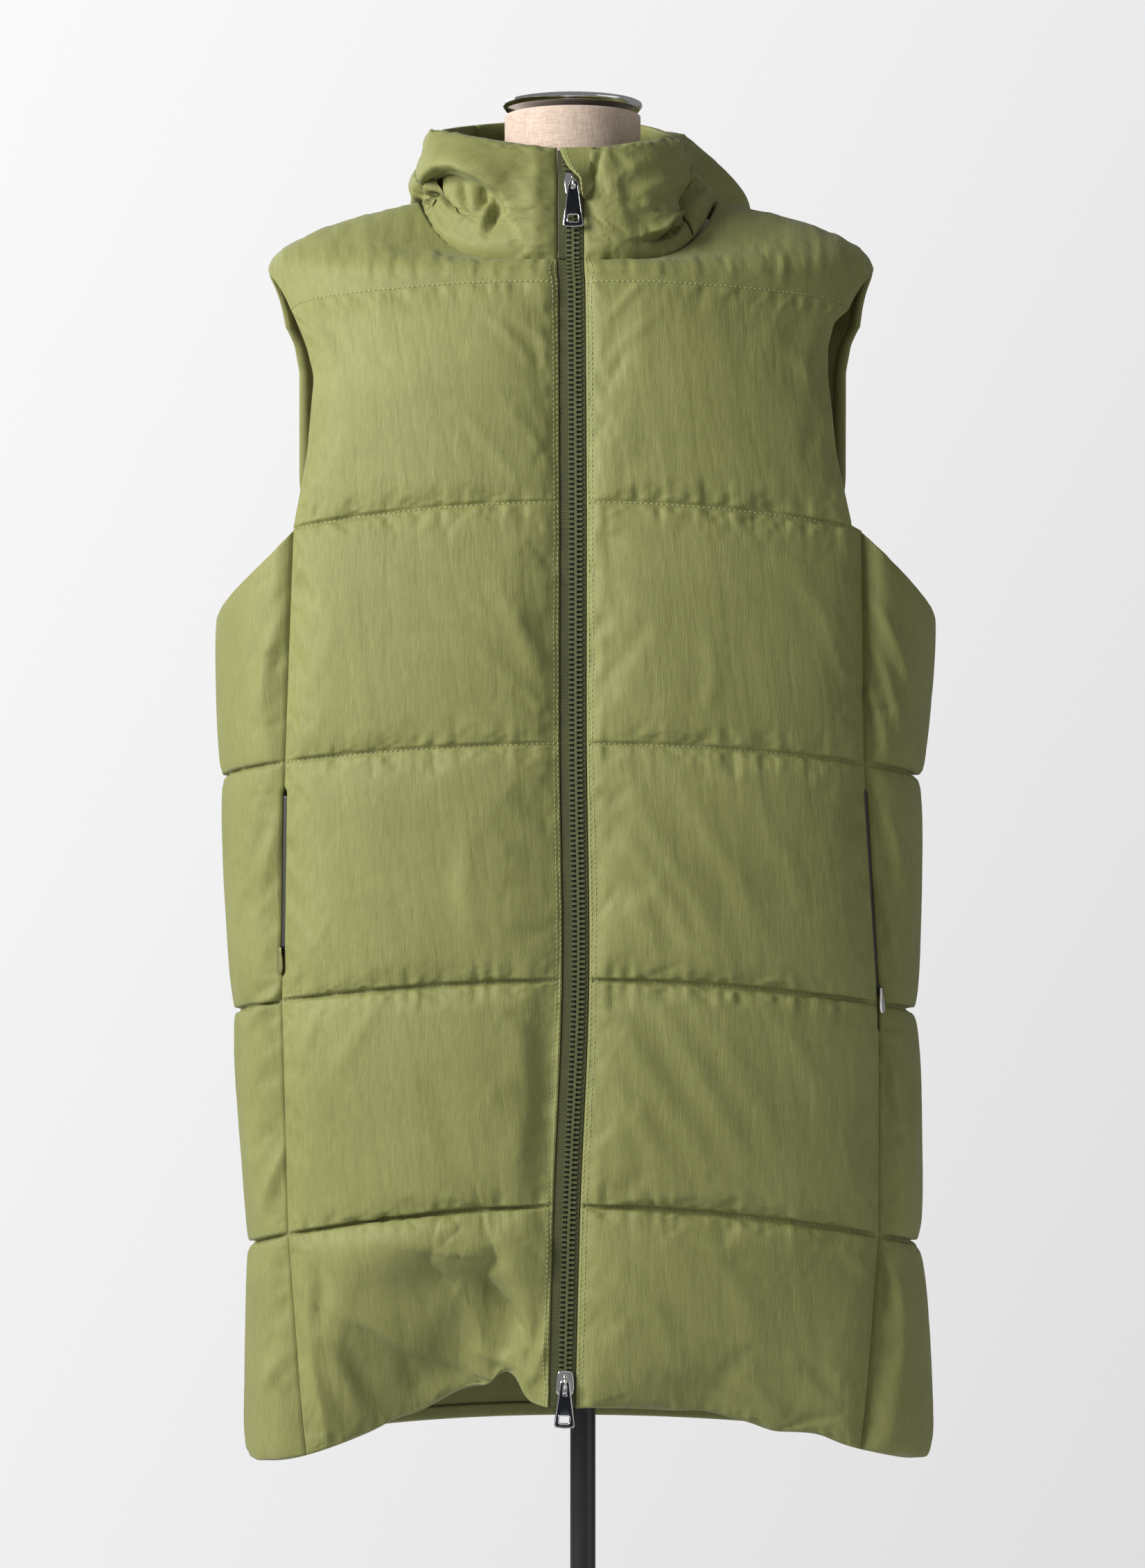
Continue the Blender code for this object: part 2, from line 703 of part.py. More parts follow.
def build_zip_guard(name, cloth, collection):
    """The corner of the right placket, folded over the top of the zip."""
    route = zip_route()
    outer = []
    inner = []
    rows = ((1.4100, 0.0078, 0.0086), (1.4180, 0.0052, 0.0128),
            (1.4300, -0.0010, 0.0190), (1.4440, -0.0080, 0.0230))
    for z, left, right in rows:
        point, along = route_at_height(route, z)
        out = Vector((1, 0, 0)).cross(along).normalized()
        outer.append([])
        inner.append([])
        for share, clear in ((0.0, GUARD_CLEAR), (0.5, GUARD_CLEAR), (1.0, GUARD_SEAT)):
            x = left + (right - left) * share
            middle = point + Vector((x, 0, 0)) + out * clear
            outer[-1].append(middle + out * GUARD_HALF)
            inner[-1].append(middle - out * GUARD_HALF)
    add_object(name, wall_mesh(name, outer, inner), cloth, collection)


# ---------------------------------------------------------------- pocket zips
def seam_frame(side, level):
    """Local Y up the side seam, local Z outward."""
    angle = side * seam_angle(side, level)
    point = vest_point(angle, level)
    above = vest_point(side * seam_angle(side, level + 0.05), level + 0.05)
    along = (above - point).normalized()
    out = surface_normal(vest_point, angle, level, NECKLINE)
    out = (out - along * out.dot(along)).normalized()
    across = along.cross(out).normalized()
    turn = Matrix((across, along, out)).transposed().to_4x4()
    return Matrix.Translation(point) @ turn


def build_pocket(pocket, tooth, silver, collection):
    label = "right" if pocket.side > 0 else "left"
    steps = 8
    outer = []
    inner = []
    for i in range(steps + 1):
        level = pocket.zip_low + (pocket.zip_high - pocket.zip_low) * i / steps
        matrix = seam_frame(pocket.side, level)
        outer.append([matrix @ Vector((x, 0, 0.0004)) for x in (-POCKET_HALF, POCKET_HALF)])
        inner.append([matrix @ Vector((x, 0, -0.0006)) for x in (-POCKET_HALF, POCKET_HALF)])
    name = "pocket_zip_" + label
    add_object(name, wall_mesh(name, outer, inner), tooth, collection)
    matrix = seam_frame(pocket.side, pocket.zip_low + 0.015)

    def slider(bm):
        box_into(bm, (-0.0017, -0.0040, 0.0007), (0.0017, 0.0040, 0.0032))

    cutter_or_part("pocket_slider_" + label, slider, matrix, silver, collection)

    def pull(bm):
        corners = [(-0.0012, 0.0), (0.0012, 0.0), (0.0030, -0.0150), (0.0024, -0.0190),
                   (0.0, -0.0205), (-0.0024, -0.0190), (-0.0030, -0.0150)]
        lows = [bm.verts.new((x, y, -0.0006)) for x, y in corners]
        highs = [bm.verts.new((x, y, 0.0006)) for x, y in corners]
        bm.faces.new(lows)
        bm.faces.new(highs)
        for i in range(len(corners)):
            j = (i + 1) % len(corners)
            bm.faces.new((lows[i], lows[j], highs[j], highs[i]))

    hinge = matrix @ Matrix.Translation((0.0, 0.0018, 0.0045))
    cutter_or_part("pocket_pull_" + label, pull, hinge, silver, collection)


# ---------------------------------------------------------------- facings
FACING_THICK = 0.0012
FACING_CLEAR = 0.0005


def band_inside(name, inner, rows, columns, cloth, collection):
    """A band made from part of a panel's inner points, moved further in."""
    front = []
    back = []
    for r in rows:
        front.append([])
        back.append([])
        for c in columns:
            across = inner[r][min(c + 1, len(inner[r]) - 1)] - inner[r][max(c - 1, 0)]
            along = inner[min(r + 1, len(inner) - 1)][c] - inner[max(r - 1, 0)][c]
            inward = along.cross(across).normalized()
            front[-1].append(inner[r][c] + inward * FACING_CLEAR)
            back[-1].append(inner[r][c] + inward * (FACING_CLEAR + FACING_THICK))
    add_object(name, wall_mesh(name, front, back), cloth, collection)


def build_facings(cloth, collection):
    """Bands inside the back panel: one along each armhole and one along the hem."""
    inner = back_grids()[1]
    per_baffle = len(ROWS_IN_BAFFLE)
    armhole = range(QUILT_1 * per_baffle + 1, SHOULDER * per_baffle)
    last = len(BACK_COLUMNS) - 1
    band_inside("armhole_facing_right", inner, armhole, (0, 1), cloth, collection)
    band_inside("armhole_facing_left", inner, armhole, (last - 1, last), cloth, collection)
    band_inside("hem_facing", inner, (0, 1), range(1, last), cloth, collection)


# ---------------------------------------------------------------- form and stand
FORM_SIDES = 24


def form_ring(z_at, half, front, back, square):
    ring = []
    for i in range(FORM_SIDES):
        angle = 2 * math.pi * i / FORM_SIDES
        radius = squared_radius(angle, square)
        depth = front if math.cos(angle) > 0 else back
        ring.append(Vector((CENTRE_X + half * radius * math.sin(angle),
                            -depth * radius * math.cos(angle), z_at(angle))))
    return ring


def build_torso(name, finish, collection):
    """Rings from the base of the torso to the shoulders, closing in under the cloth."""
    rings = [form_ring(lambda angle, z=row.z: z, row.half, row.front, row.back, 2.3)
             for row in FORM]
    for level in (6.95, 7.35, 7.75):
        ring = []
        for i in range(FORM_SIDES):
            angle = 2 * math.pi * i / FORM_SIDES
            ring.append(vest_offset(angle, level, -FORM_DROP))
        rings.append(ring)
    rings.append(form_ring(lambda angle: NECK_BASE_Z, NECK_RADIUS, NECK_RADIUS, NECK_RADIUS, 2.0))

    def build(bm):
        loops = [[bm.verts.new(p) for p in ring] for ring in rings]
        for low, high in zip(loops, loops[1:]):
            for i in range(FORM_SIDES):
                j = (i + 1) % FORM_SIDES
                bm.faces.new((low[i], low[j], high[j], high[i]))
        bm.faces.new(loops[0])
        bm.faces.new(loops[-1])

    add_object(name, mesh_from(name, build), finish, collection)


def turned(name, profile, x, sides, finish, collection):
    """A turned solid: the profile runs down its outer side, top to bottom."""
    mesh = bpy.data.meshes.new(name)
    bm = bmesh.new()
    verts = [bm.verts.new((radius, 0.0, z)) for radius, z in profile]
    for a, b in zip(verts, verts[1:]):
        bm.edges.new((a, b))
    bm.to_mesh(mesh)
    bm.free()
    made = add_object(name, mesh, finish, collection)
    made.location.x = x
    screw = made.modifiers.new("turn", "SCREW")
    screw.steps = sides
    screw.render_steps = sides
    screw.use_merge_vertices = True
    screw.merge_threshold = 0.00001
    return made


def build_form(linen, chrome, black, collection):
    build_torso("form_torso", linen, collection)
    neck_low = NECK_BASE_Z + 0.0003
    turned("form_neck", [(0.0, NECK_TOP_Z), (NECK_RADIUS, NECK_TOP_Z), (NECK_RADIUS, neck_low),
                         (0.0, neck_low)], CENTRE_X, 40, linen, collection)
    rim_low = NECK_TOP_Z + 0.0003
    top = rim_low + RIM_HEIGHT
    turned("form_neck_cap", [(0.0, top - 0.0040), (RIM_RADIUS - 0.0040, top - 0.0040),
                             (RIM_RADIUS - 0.0030, top), (RIM_RADIUS - 0.0008, top),
                             (RIM_RADIUS, top - 0.0010), (RIM_RADIUS, rim_low + 0.0050),
                             (RIM_RADIUS - 0.0020, rim_low), (0.0, rim_low)],
           CENTRE_X, 40, chrome, collection)
    turned("stand_base", [(0.0, BASE_THICK), (0.030, BASE_THICK), (BASE_RADIUS - 0.012, 0.0100),
                          (BASE_RADIUS - 0.002, 0.0080), (BASE_RADIUS, 0.0060),
                          (BASE_RADIUS, 0.0), (0.0, 0.0)], 0.0, 48, black, collection)
    pole_low = BASE_THICK + 0.0003
    pole_top = FORM[0].z - 0.0003
    turned("stand_pole", [(0.0, pole_top), (POLE_RADIUS, pole_top), (POLE_RADIUS, 0.034),
                          (0.021, 0.030), (0.021, pole_low), (0.0, pole_low)],
           0.0, 24, black, collection)


def main():
    clear_scene()
    collection = new_collection(OBJECT_NAME)
    cutters = new_collection("cutters")
    cloth = material("olive_nylon", GREEN, 0.55)
    tooth = material("green_teeth", DARK_GREEN, 0.35)
    linen = material("linen", LINEN, 0.85)
    chrome = material("chrome", CHROME, 0.12, 1.0)
    gunmetal = material("gunmetal", GUNMETAL, 0.18, 1.0)
    black = material("black_paint", BLACK, 0.35)
    build_form(linen, chrome, black, collection)
    for label, side in (("left", -1), ("right", 1)):
        build_front("front_" + label, side, cloth, collection)
        build_side("side_" + label, side, cloth, collection)
        build_hood_side("hood_" + label, side, cloth, collection)
    build_back("back", cloth, collection)
    build_hood_centre("hood_centre", cloth, collection)
    build_facings(cloth, collection)
    build_zip(cloth, tooth, chrome, gunmetal, collection, cutters)
    build_zip_guard("zip_guard", cloth, collection)
    for pocket in POCKETS:
        build_pocket(pocket, tooth, chrome, collection)


main()
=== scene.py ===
"""The looks of a long sleeveless hooded puffer vest, zipped closed, on a limbless dress form.

Metres, +Z up, the front faces -Y. The cloth's surface comes from tables like the CAD model's, which
differ a little from them at the yoke, the armholes, the hem and the hood:
angle 0 is centre front, +90 degrees the right side (+X) and 180 degrees centre back, and a level
counts the quilt lines up from the hem.
"""

import math

import bmesh
import bpy
import numpy as np
from mathutils import Matrix, Vector


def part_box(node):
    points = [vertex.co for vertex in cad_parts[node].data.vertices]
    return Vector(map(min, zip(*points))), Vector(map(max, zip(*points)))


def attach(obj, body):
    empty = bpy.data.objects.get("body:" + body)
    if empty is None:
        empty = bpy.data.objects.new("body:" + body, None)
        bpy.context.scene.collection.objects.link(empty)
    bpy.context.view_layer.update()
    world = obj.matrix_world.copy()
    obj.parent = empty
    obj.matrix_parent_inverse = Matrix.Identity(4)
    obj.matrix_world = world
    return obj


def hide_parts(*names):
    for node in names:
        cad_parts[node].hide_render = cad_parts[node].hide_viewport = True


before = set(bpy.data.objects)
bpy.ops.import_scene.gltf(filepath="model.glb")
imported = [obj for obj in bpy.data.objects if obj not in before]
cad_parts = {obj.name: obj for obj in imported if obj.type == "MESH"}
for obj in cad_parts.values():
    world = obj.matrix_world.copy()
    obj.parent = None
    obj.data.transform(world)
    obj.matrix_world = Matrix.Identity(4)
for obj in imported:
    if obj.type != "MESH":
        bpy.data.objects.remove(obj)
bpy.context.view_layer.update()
ROOT = "vest_and_form"

# ---------------------------------------------------------------- tables of the cloth's surface
CENTRE_X = -0.0085
QUILT_4, QUILT_2, QUILT_1, YOKE, SHOULDER, NECKLINE = 1, 3, 4, 5, 6, 8   # levels; the hem is 0

# Columns: z at centre front, side and centre back; half width left and right; depth front and
# back; the zip's x; how the front ring bows; how square the ring is.
VEST = np.array([
    (0.4375, 0.376, 0.392, 0.262, 0.284, 0.130, 0.128, -0.0150, 2.0, 2.6),
    (0.5990, 0.556, 0.572, 0.261, 0.277, 0.134, 0.131, -0.0110, 2.0, 2.6),
    (0.7790, 0.748, 0.760, 0.274, 0.275, 0.136, 0.132, -0.0040, 2.0, 2.6),
    (0.9670, 0.941, 0.950, 0.284, 0.279, 0.137, 0.130, -0.0060, 2.0, 2.6),
    (1.1590, 1.125, 1.140, 0.284, 0.287, 0.134, 0.124, -0.0060, 2.0, 2.40),
    (1.3350, 1.318, 1.325, 0.254, 0.251, 0.115, 0.108, -0.0070, 2.2, 2.00),
    (1.3430, 1.3665, 1.362, 0.250, 0.247, 0.111, 0.102, -0.0076, 2.6, 2.00),
    (1.3500, 1.3980, 1.400, 0.196, 0.197, 0.107, 0.093, -0.0079, 3.4, 2.05),
    (1.3560, 1.4165, 1.430, 0.127, 0.120, 0.104, 0.080, -0.0081, 5.0, 2.1),
])
# How far the padding stands out between quilt lines: front, side, back.
BAFFLES = np.array([
    (0.0150, 0.0090, 0.0140),
    (0.0125, 0.0075, 0.0130),
    (0.0120, 0.0065, 0.0130),
    (0.0120, 0.0075, 0.0130),
    (0.0110, 0.0080, 0.0120),
    (0.0050, 0.0030, 0.0050),
])
# Level, then the distance from the centre line to the side seam, left and right.
SIDE_SEAM = np.array([
    (0.0, 0.213, 0.232), (1.0, 0.229, 0.247), (2.0, 0.234, 0.247),
    (3.0, 0.231, 0.234), (4.0, 0.2245, 0.232),
])
# Level, then the distance from the centre line to the armhole's edge: front right, back, front left.
ARMHOLE = np.array([
    (4.00, 0.2250, 0.2250, 0.2250), (4.30, 0.2120, 0.2315, 0.2140), (4.61, 0.2060, 0.2305, 0.2090),
    (4.75, 0.2065, 0.2300, 0.2150), (4.89, 0.2120, 0.2335, 0.2230), (5.00, 0.2240, 0.2400, 0.2290),
])
UNDERARM_DIP = 0.30
# Angle and width in degrees, then how far the hem rises there
HEM_FOLDS = ((-10.2, 2.7, 0.017), (-16.5, 8.0, 0.013), (-50.0, 16.0, -0.009), (50.0, 16.0, -0.004),
             (22.0, 3.5, 0.003), (33.0, 3.0, -0.003), (41.0, 3.5, 0.003), (-33.0, 3.0, 0.002),
             (-94.0, 15.0, 0.015), (94.0, 15.0, 0.014))

# Columns: z front, left, right, back; half width left, right; depth front, back; flare left, right
HOOD = np.array([
    (1.3586, 1.4203, 1.4199, 1.4346, 0.1262, 0.1165, 0.1034, 0.080, 0.000, 0.000),
    (1.3700, 1.4270, 1.4270, 1.4420, 0.1270, 0.1050, 0.1040, 0.110, 0.004, 0.014),
    (1.3830, 1.4350, 1.4350, 1.4000, 0.1265, 0.0970, 0.1018, 0.130, 0.010, 0.034),
    (1.3950, 1.4420, 1.4410, 1.3200, 0.1255, 0.0935, 0.0995, 0.146, 0.016, 0.051),
    (1.4060, 1.4480, 1.4460, 1.2500, 0.1245, 0.0920, 0.0970, 0.165, 0.020, 0.064),
    (1.4170, 1.4540, 1.4510, 1.2380, 0.1240, 0.0910, 0.0944, 0.195, 0.022, 0.073),
    (1.4280, 1.4600, 1.4560, 1.3000, 0.1235, 0.0905, 0.0917, 0.228, 0.022, 0.077),
    (1.4385, 1.4670, 1.4620, 1.4200, 0.1215, 0.0890, 0.0889, 0.222, 0.018, 0.066),
    (1.4480, 1.4740, 1.4680, 1.5120, 0.1175, 0.0880, 0.0860, 0.155, 0.004, 0.010),
])
HOOD_TOP = len(HOOD) - 1
HOOD_SQUARE = 2.1
HOOD_BOW = 4.7
HOOD_BAG = 2.2
HOOD_FLARE_FROM = 0.16
HOOD_HALF_WALL = 0.0035
HOOD_SEAM_LEFT = math.radians(138.0)
# The hood's right seam: level, then its angle in degrees
HOOD_SEAM_RIGHT = ((0, 1, 2, 4, 8), (56.0, 60.0, 66.0, 76.0, 80.0))
HOOD_GAP = 0.0026
# Angle, level, reach in angle, reach in level, distance out
HOOD_FOLDS = (
    (-56.0, 2.4, 17.0, 1.5, -0.018), (-58.0, 5.8, 30.0, 1.6, 0.007),
    (66.0, 1.6, 12.0, 1.0, -0.011), (45.0, 4.6, 26.0, 1.8, 0.004),
)

SEAM_GAP = 0.0004
SEAM_HALF = 0.0015
LINING_SHARE = 0.30
EDGE_LEFT = 0.0130
EDGE_RIGHT = 0.0088
CHAIN_HALF = 0.0056
TOP_SLIDER_Z = 1.4175
BOTTOM_SLIDER_Z = 0.4580
# Side, then the levels between which the seam opens and, below, those that the zip spans
POCKETS = ((-1, 2.12, 2.88), (1, 1.88, 2.88))
POCKET_OPEN = 0.0022
POCKET_ZIPS = ((-1, 2.20, 2.86), (1, 2.04, 2.90))
POCKET_HALF = 0.0018


# ---------------------------------------------------------------- the surfaces
def eased(slope, here, beside):
    """A slope that cannot carry the curve past its rows."""
    limit = np.where(here * beside > 0, 3 * np.minimum(np.abs(here), np.abs(beside)), 0.0)
    return np.clip(slope, -limit, limit)


def spline(rows, at):
    """The rows' values at fractional row numbers, on a smooth curve through the rows."""
    last = len(rows) - 1
    at = np.clip(at, 0.0, last)
    low = np.minimum(at.astype(int), last - 1)
    t = (at - low)[..., None]
    before, here = rows[np.maximum(low - 1, 0)], rows[low]
    there, after = rows[low + 1], rows[np.minimum(low + 2, last)]
    start, finish = (there - before) / 2, (after - here) / 2
    if rows is VEST:
        above = (low >= YOKE)[..., None]
        start = np.where(above, eased(start, there - here, here - before), start)
        finish = np.where(above, eased(finish, there - here, after - there), finish)
    return ((2 * t**3 - 3 * t**2 + 1) * here + (t**3 - 2 * t**2 + t) * start
            + (3 * t**2 - 2 * t**3) * there + (t**3 - t**2) * finish)


def squared_radius(angle, square):
    return (np.abs(np.sin(angle)) ** square + np.abs(np.cos(angle)) ** square) ** (-1 / square)


def vest_point(angle, level):
    """Points of the cloth's middle, at arrays of angles and levels."""
    row = np.moveaxis(spline(VEST, level), -1, 0)
    z_front, z_side, z_back, left, right, front, back, zip_x, bow, square = row
    sine, cosine = np.sin(angle), np.cos(angle)
    radius = squared_radius(angle, square)
    half = np.where(sine > 0, right, left)
    depth = np.where(cosine > 0, front, back)
    shift = (zip_x - CENTRE_X) * np.maximum(cosine, 0.0) ** 6
    z = np.where(cosine > 0, z_front + (z_side - z_front) * np.abs(sine) ** bow,
                 z_back + (z_side - z_back) * sine**2)
    fade = np.maximum(0.0, 1 - level) ** 2
    turn = (np.degrees(angle) + 180) % 360 - 180
    for at, width, lift in HEM_FOLDS:
        z = z + lift * np.exp(-((turn - at) / width) ** 2) * fade
    return np.stack((CENTRE_X + shift + half * radius * sine, -depth * radius * cosine, z), -1)


def hood_point(angle, level):
    row = np.moveaxis(spline(HOOD, level), -1, 0)
    z_front, z_left, z_right, z_back, left, right, front, back, flare_left, flare_right = row
    sine, cosine = np.sin(angle), np.cos(angle)
    bag = HOOD_BAG - 1.1 * (np.clip(level, 0, HOOD_TOP) / HOOD_TOP) ** 4
    radius = squared_radius(angle, HOOD_SQUARE)
    half = np.where(sine > 0, right, left)
    z_side = np.where(sine > 0, z_right, z_left)
    flare = np.where(sine > 0, flare_right, flare_left)
    depth = np.where(cosine > 0, front, back)
    shift = (VEST[NECKLINE][7] - CENTRE_X) * np.maximum(cosine, 0.0) ** 6
    start = np.clip((-cosine - HOOD_FLARE_FROM) / 0.34, 0.0, 1.0)
    wide = np.where(cosine > 0, 0.0, flare * np.sin(2 * angle) * start**2 * (3 - 2 * start))
    bow = HOOD_BOW - 3.1 * (np.clip(level, 0, HOOD_TOP) / HOOD_TOP) ** 2
    z = np.where(cosine > 0, z_front + (z_side - z_front) * np.abs(sine) ** bow,
                 z_side + (z_back - z_side) * np.maximum(-cosine, 0.0) ** bag)
    point = np.stack((CENTRE_X + shift + half * radius * sine - wide,
                      -depth * radius * cosine, z), -1)
    turn = (np.degrees(angle) + 180) % 360 - 180
    out = np.zeros_like(turn)
    for at, at_level, reach, level_reach, distance in HOOD_FOLDS:
        out = out + distance * np.exp(-((turn - at) / reach) ** 2
                                      - ((level - at_level) / level_reach) ** 2)
    edge = np.minimum(np.minimum(1.0, level), 0.5 + (HOOD_TOP - level) / 2)
    away = point - np.array((CENTRE_X, 0.0, 0.0))
    away[..., 2] = 0
    away /= np.linalg.norm(away, axis=-1, keepdims=True)
    return point + away * (out * edge)[..., None]


def surface_normal(surface, angle, level, top):
    low, high = np.maximum(level - 0.02, 0.0), np.minimum(level + 0.02, top)
    across = surface(angle + 0.01, level) - surface(angle - 0.01, level)
    along = surface(angle, high) - surface(angle, low)
    normal = np.cross(across, along)
    return normal / np.linalg.norm(normal, axis=-1, keepdims=True)


def half_width(side, level):
    return spline(VEST, level)[..., 4 if side > 0 else 3]


def angle_at(distance, level, side):
    """The front angle at which the ring is this far from the centre line."""
    square = spline(VEST, level)[..., 9]
    share = np.minimum(distance / half_width(side, level), 0.9999)
    return np.arctan2(share, (1 - share**square) ** (1 / square))


def edge_angle(side, level):
    return (EDGE_RIGHT if side > 0 else EDGE_LEFT) / half_width(side, level)


def seam_angle(side, level, edge=1):
    """Where the front panel ends (edge 1), or the back panel, mirrored (edge 2)."""
    column = 2 if side > 0 else 1
    edge = 3 if edge == 1 and side < 0 else edge
    low = angle_at(np.interp(level, SIDE_SEAM[:, 0], SIDE_SEAM[:, column]), level, side)
    middle = angle_at(np.interp(level, ARMHOLE[:, 0], ARMHOLE[:, edge]), level, side)
    start = angle_at(ARMHOLE[-1, edge], np.full_like(level, YOKE), side)
    share = np.clip((level - YOKE) / (SHOULDER - YOKE), 0.0, 1.0)
    high = start + (math.pi / 2 - start) * share
    return np.where(level <= QUILT_1, low, np.where(level <= YOKE, middle, high))


def gap_angle(side, level, gap):
    return gap / (0.8 * half_width(side, level))


def pocket_opening(side, level):
    opening = np.zeros_like(level)
    for pocket_side, low, high in POCKETS:
        if pocket_side == side:
            opening = np.where((level >= low) & (level <= high), POCKET_OPEN, opening)
    return opening


# ---------------------------------------------------------------- soft noise for creases
def lattice_noise(x, y, seed):
    """Smooth noise between -1 and 1 with a feature about one unit across."""
    table = np.random.RandomState(seed).uniform(-1, 1, (64, 64))
    xi, yi = np.floor(x).astype(int), np.floor(y).astype(int)
    u, v = x - xi, y - yi
    u, v = u * u * u * (u * (u * 6 - 15) + 10), v * v * v * (v * (v * 6 - 15) + 10)
    a, b = table[xi % 64, yi % 64], table[(xi + 1) % 64, yi % 64]
    c, d = table[xi % 64, (yi + 1) % 64], table[(xi + 1) % 64, (yi + 1) % 64]
    return (a * (1 - u) + b * u) * (1 - v) + (c * (1 - u) + d * u) * v


def creases(x, y, seed):
    """Noise in three sizes, with narrow troughs between broad swells."""
    total = lattice_noise(x, y, seed) + 0.5 * lattice_noise(2.1 * x, 1.7 * y, seed + 1)
    total = total + 0.25 * lattice_noise(4.3 * x, 3.1 * y, seed + 2)
    return 0.6 * total - 0.9 * np.exp(-(lattice_noise(1.3 * x, 1.1 * y, seed + 3) / 0.16) ** 2)


# ---------------------------------------------------------------- grids of points
def distances(points, axis):
    """How far each point of a grid is from the first one, along its column (0) or row (1)."""
    step = np.linalg.norm(np.diff(points, axis=axis), axis=-1)
    return np.insert(np.cumsum(step, axis=axis), 0, 0.0, axis=axis)


def grid_normals(points):
    """Outward normals of a grid whose columns run with the angle and whose rows run up."""
    normal = np.cross(np.gradient(points, axis=1), np.gradient(points, axis=0))
    return normal / np.maximum(np.linalg.norm(normal, axis=-1, keepdims=True), 1e-12)


def halved(points, axis):
    """A grid with a point added between each two, on a smooth curve through its neighbours."""
    points = np.moveaxis(points, axis, 0)
    before = np.concatenate((2 * points[:1] - points[1:2], points[:-2]))
    after = np.concatenate((points[2:], 2 * points[-1:] - points[-2:-1]))
    between = (9 * (points[:-1] + points[1:]) - before - after) / 16
    finer = np.empty((2 * len(points) - 1, *points.shape[1:]))
    finer[0::2] = points
    finer[1::2] = between
    return np.moveaxis(finer, 0, axis)


def finer(points):
    return halved(halved(points, 0), 1)


def softened(points, share, times):
    """Evens points out along their columns, by a share from 0 to 1 at each point."""
    for _ in range(times):
        near = (points[:-2] + points[2:]) / 2
        points[1:-1] += 0.5 * share[1:-1, :, None] * (near - points[1:-1])
    return points


def mesh_object(name, verts, faces, finish, smooth=True):
    mesh = bpy.data.meshes.new(name)
    mesh.from_pydata(verts, [], faces)
    mesh.polygons.foreach_set("use_smooth", [smooth] * len(mesh.polygons))
    mesh.materials.append(finish)
    made = bpy.data.objects.new(name, mesh)
    bpy.context.scene.collection.objects.link(made)
    return made


def grid_faces(rows, columns, start=0, flip=False):
    r, c = np.meshgrid(np.arange(rows - 1), np.arange(columns - 1), indexing="ij")
    a = (start + r * columns + c).ravel()
    quads = np.stack((a, a + 1, a + columns + 1, a + columns), -1)
    return (quads[:, ::-1] if flip else quads).tolist()


def rim(rows, columns):
    """The indices of a grid's border, once round."""
    index = np.arange(rows * columns).reshape(rows, columns)
    return np.concatenate((index[0, :-1], index[:-1, -1], index[-1, :0:-1], index[:0:-1, 0]))


def wall_object(name, outer, inner, finish, seed=0, inside=None, sideways=None):
    """A closed wall: a fine outer grid and an inner grid with half its rows and columns.

    Each point also carries its place on the flat cloth, for the material's creases.
    """
    rows, columns = outer.shape[:2]
    low_rows, low_columns = inner.shape[:2]
    start = rows * columns
    faces = grid_faces(rows, columns) + grid_faces(low_rows, low_columns, start, flip=True)
    top = rim(rows, columns)
    low = rim(low_rows, low_columns) + start
    count = len(low)
    for i in range(count):
        a, middle, b = (int(top[(2 * i + k) % len(top)]) for k in range(3))
        c, d = int(low[i]), int(low[(i + 1) % count])
        faces += [(a, c, middle), (middle, c, d), (middle, d, b)]
    verts = np.concatenate((outer.reshape(-1, 3), inner.reshape(-1, 3))).tolist()
    made = mesh_object(name, verts, faces, finish)
    middle = columns // 2
    across = distances(outer, 1)
    across = across - across[:, middle:middle + 1] if sideways is None else sideways
    along = np.broadcast_to(distances(outer, 0)[:, middle:middle + 1], across.shape)
    flat = np.stack((across, along, np.full_like(across, 0.37 * seed)), -1)
    flat = np.concatenate((flat.reshape(-1, 3), flat[::2, ::2].reshape(-1, 3)))
    # The inner faces get the darker inside cloth, which is painted shade.
    if inside is not None:
        made.data.materials.append(inside)
        outside = (rows - 1) * (columns - 1)
        for polygon in made.data.polygons[outside:outside + (low_rows - 1) * (low_columns - 1)]:
            polygon.material_index = 1
    place = made.data.attributes.new("flat_cloth", "FLOAT_VECTOR", "POINT")
    place.data.foreach_set("vector", flat.astype(np.float32).ravel())
    return made


# ---------------------------------------------------------------- cloth simulation
SIM_FRAMES = 20
CLOTH_STIFFNESS = 12.0
waiting = []


def inflate_later(points, pinned, growth, pressure):
    """Queues an open grid of cloth to be blown up from its pinned points."""
    rows, columns = points.shape[:2]
    mesh = bpy.data.meshes.new("cloth")
    mesh.from_pydata(points.reshape(-1, 3).tolist(), [], grid_faces(rows, columns))
    sheet = bpy.data.objects.new("cloth", mesh)
    bpy.context.scene.collection.objects.link(sheet)
    pins = sheet.vertex_groups.new(name="pins")
    pins.add(np.flatnonzero(pinned.ravel()).tolist(), 1.0, "REPLACE")
    cloth = sheet.modifiers.new("cloth", "CLOTH")
    set_up = cloth.settings
    set_up.quality = 5
    set_up.mass = 0.15
    set_up.tension_stiffness = CLOTH_STIFFNESS
    set_up.compression_stiffness = CLOTH_STIFFNESS
    set_up.shear_stiffness = CLOTH_STIFFNESS / 2
    set_up.bending_stiffness = 0.3
    set_up.vertex_group_mass = "pins"
    set_up.pin_stiffness = 1.0
    set_up.use_pressure = True
    set_up.uniform_pressure_force = pressure
    set_up.shrink_min = -growth
    set_up.shrink_max = -growth
    set_up.effector_weights.gravity = 0.0
    cloth.collision_settings.use_collision = False
    cloth.point_cache.frame_start = 1
    cloth.point_cache.frame_end = SIM_FRAMES
    job = {"sheet": sheet, "base": points, "made": points}
    waiting.append(job)
    return job


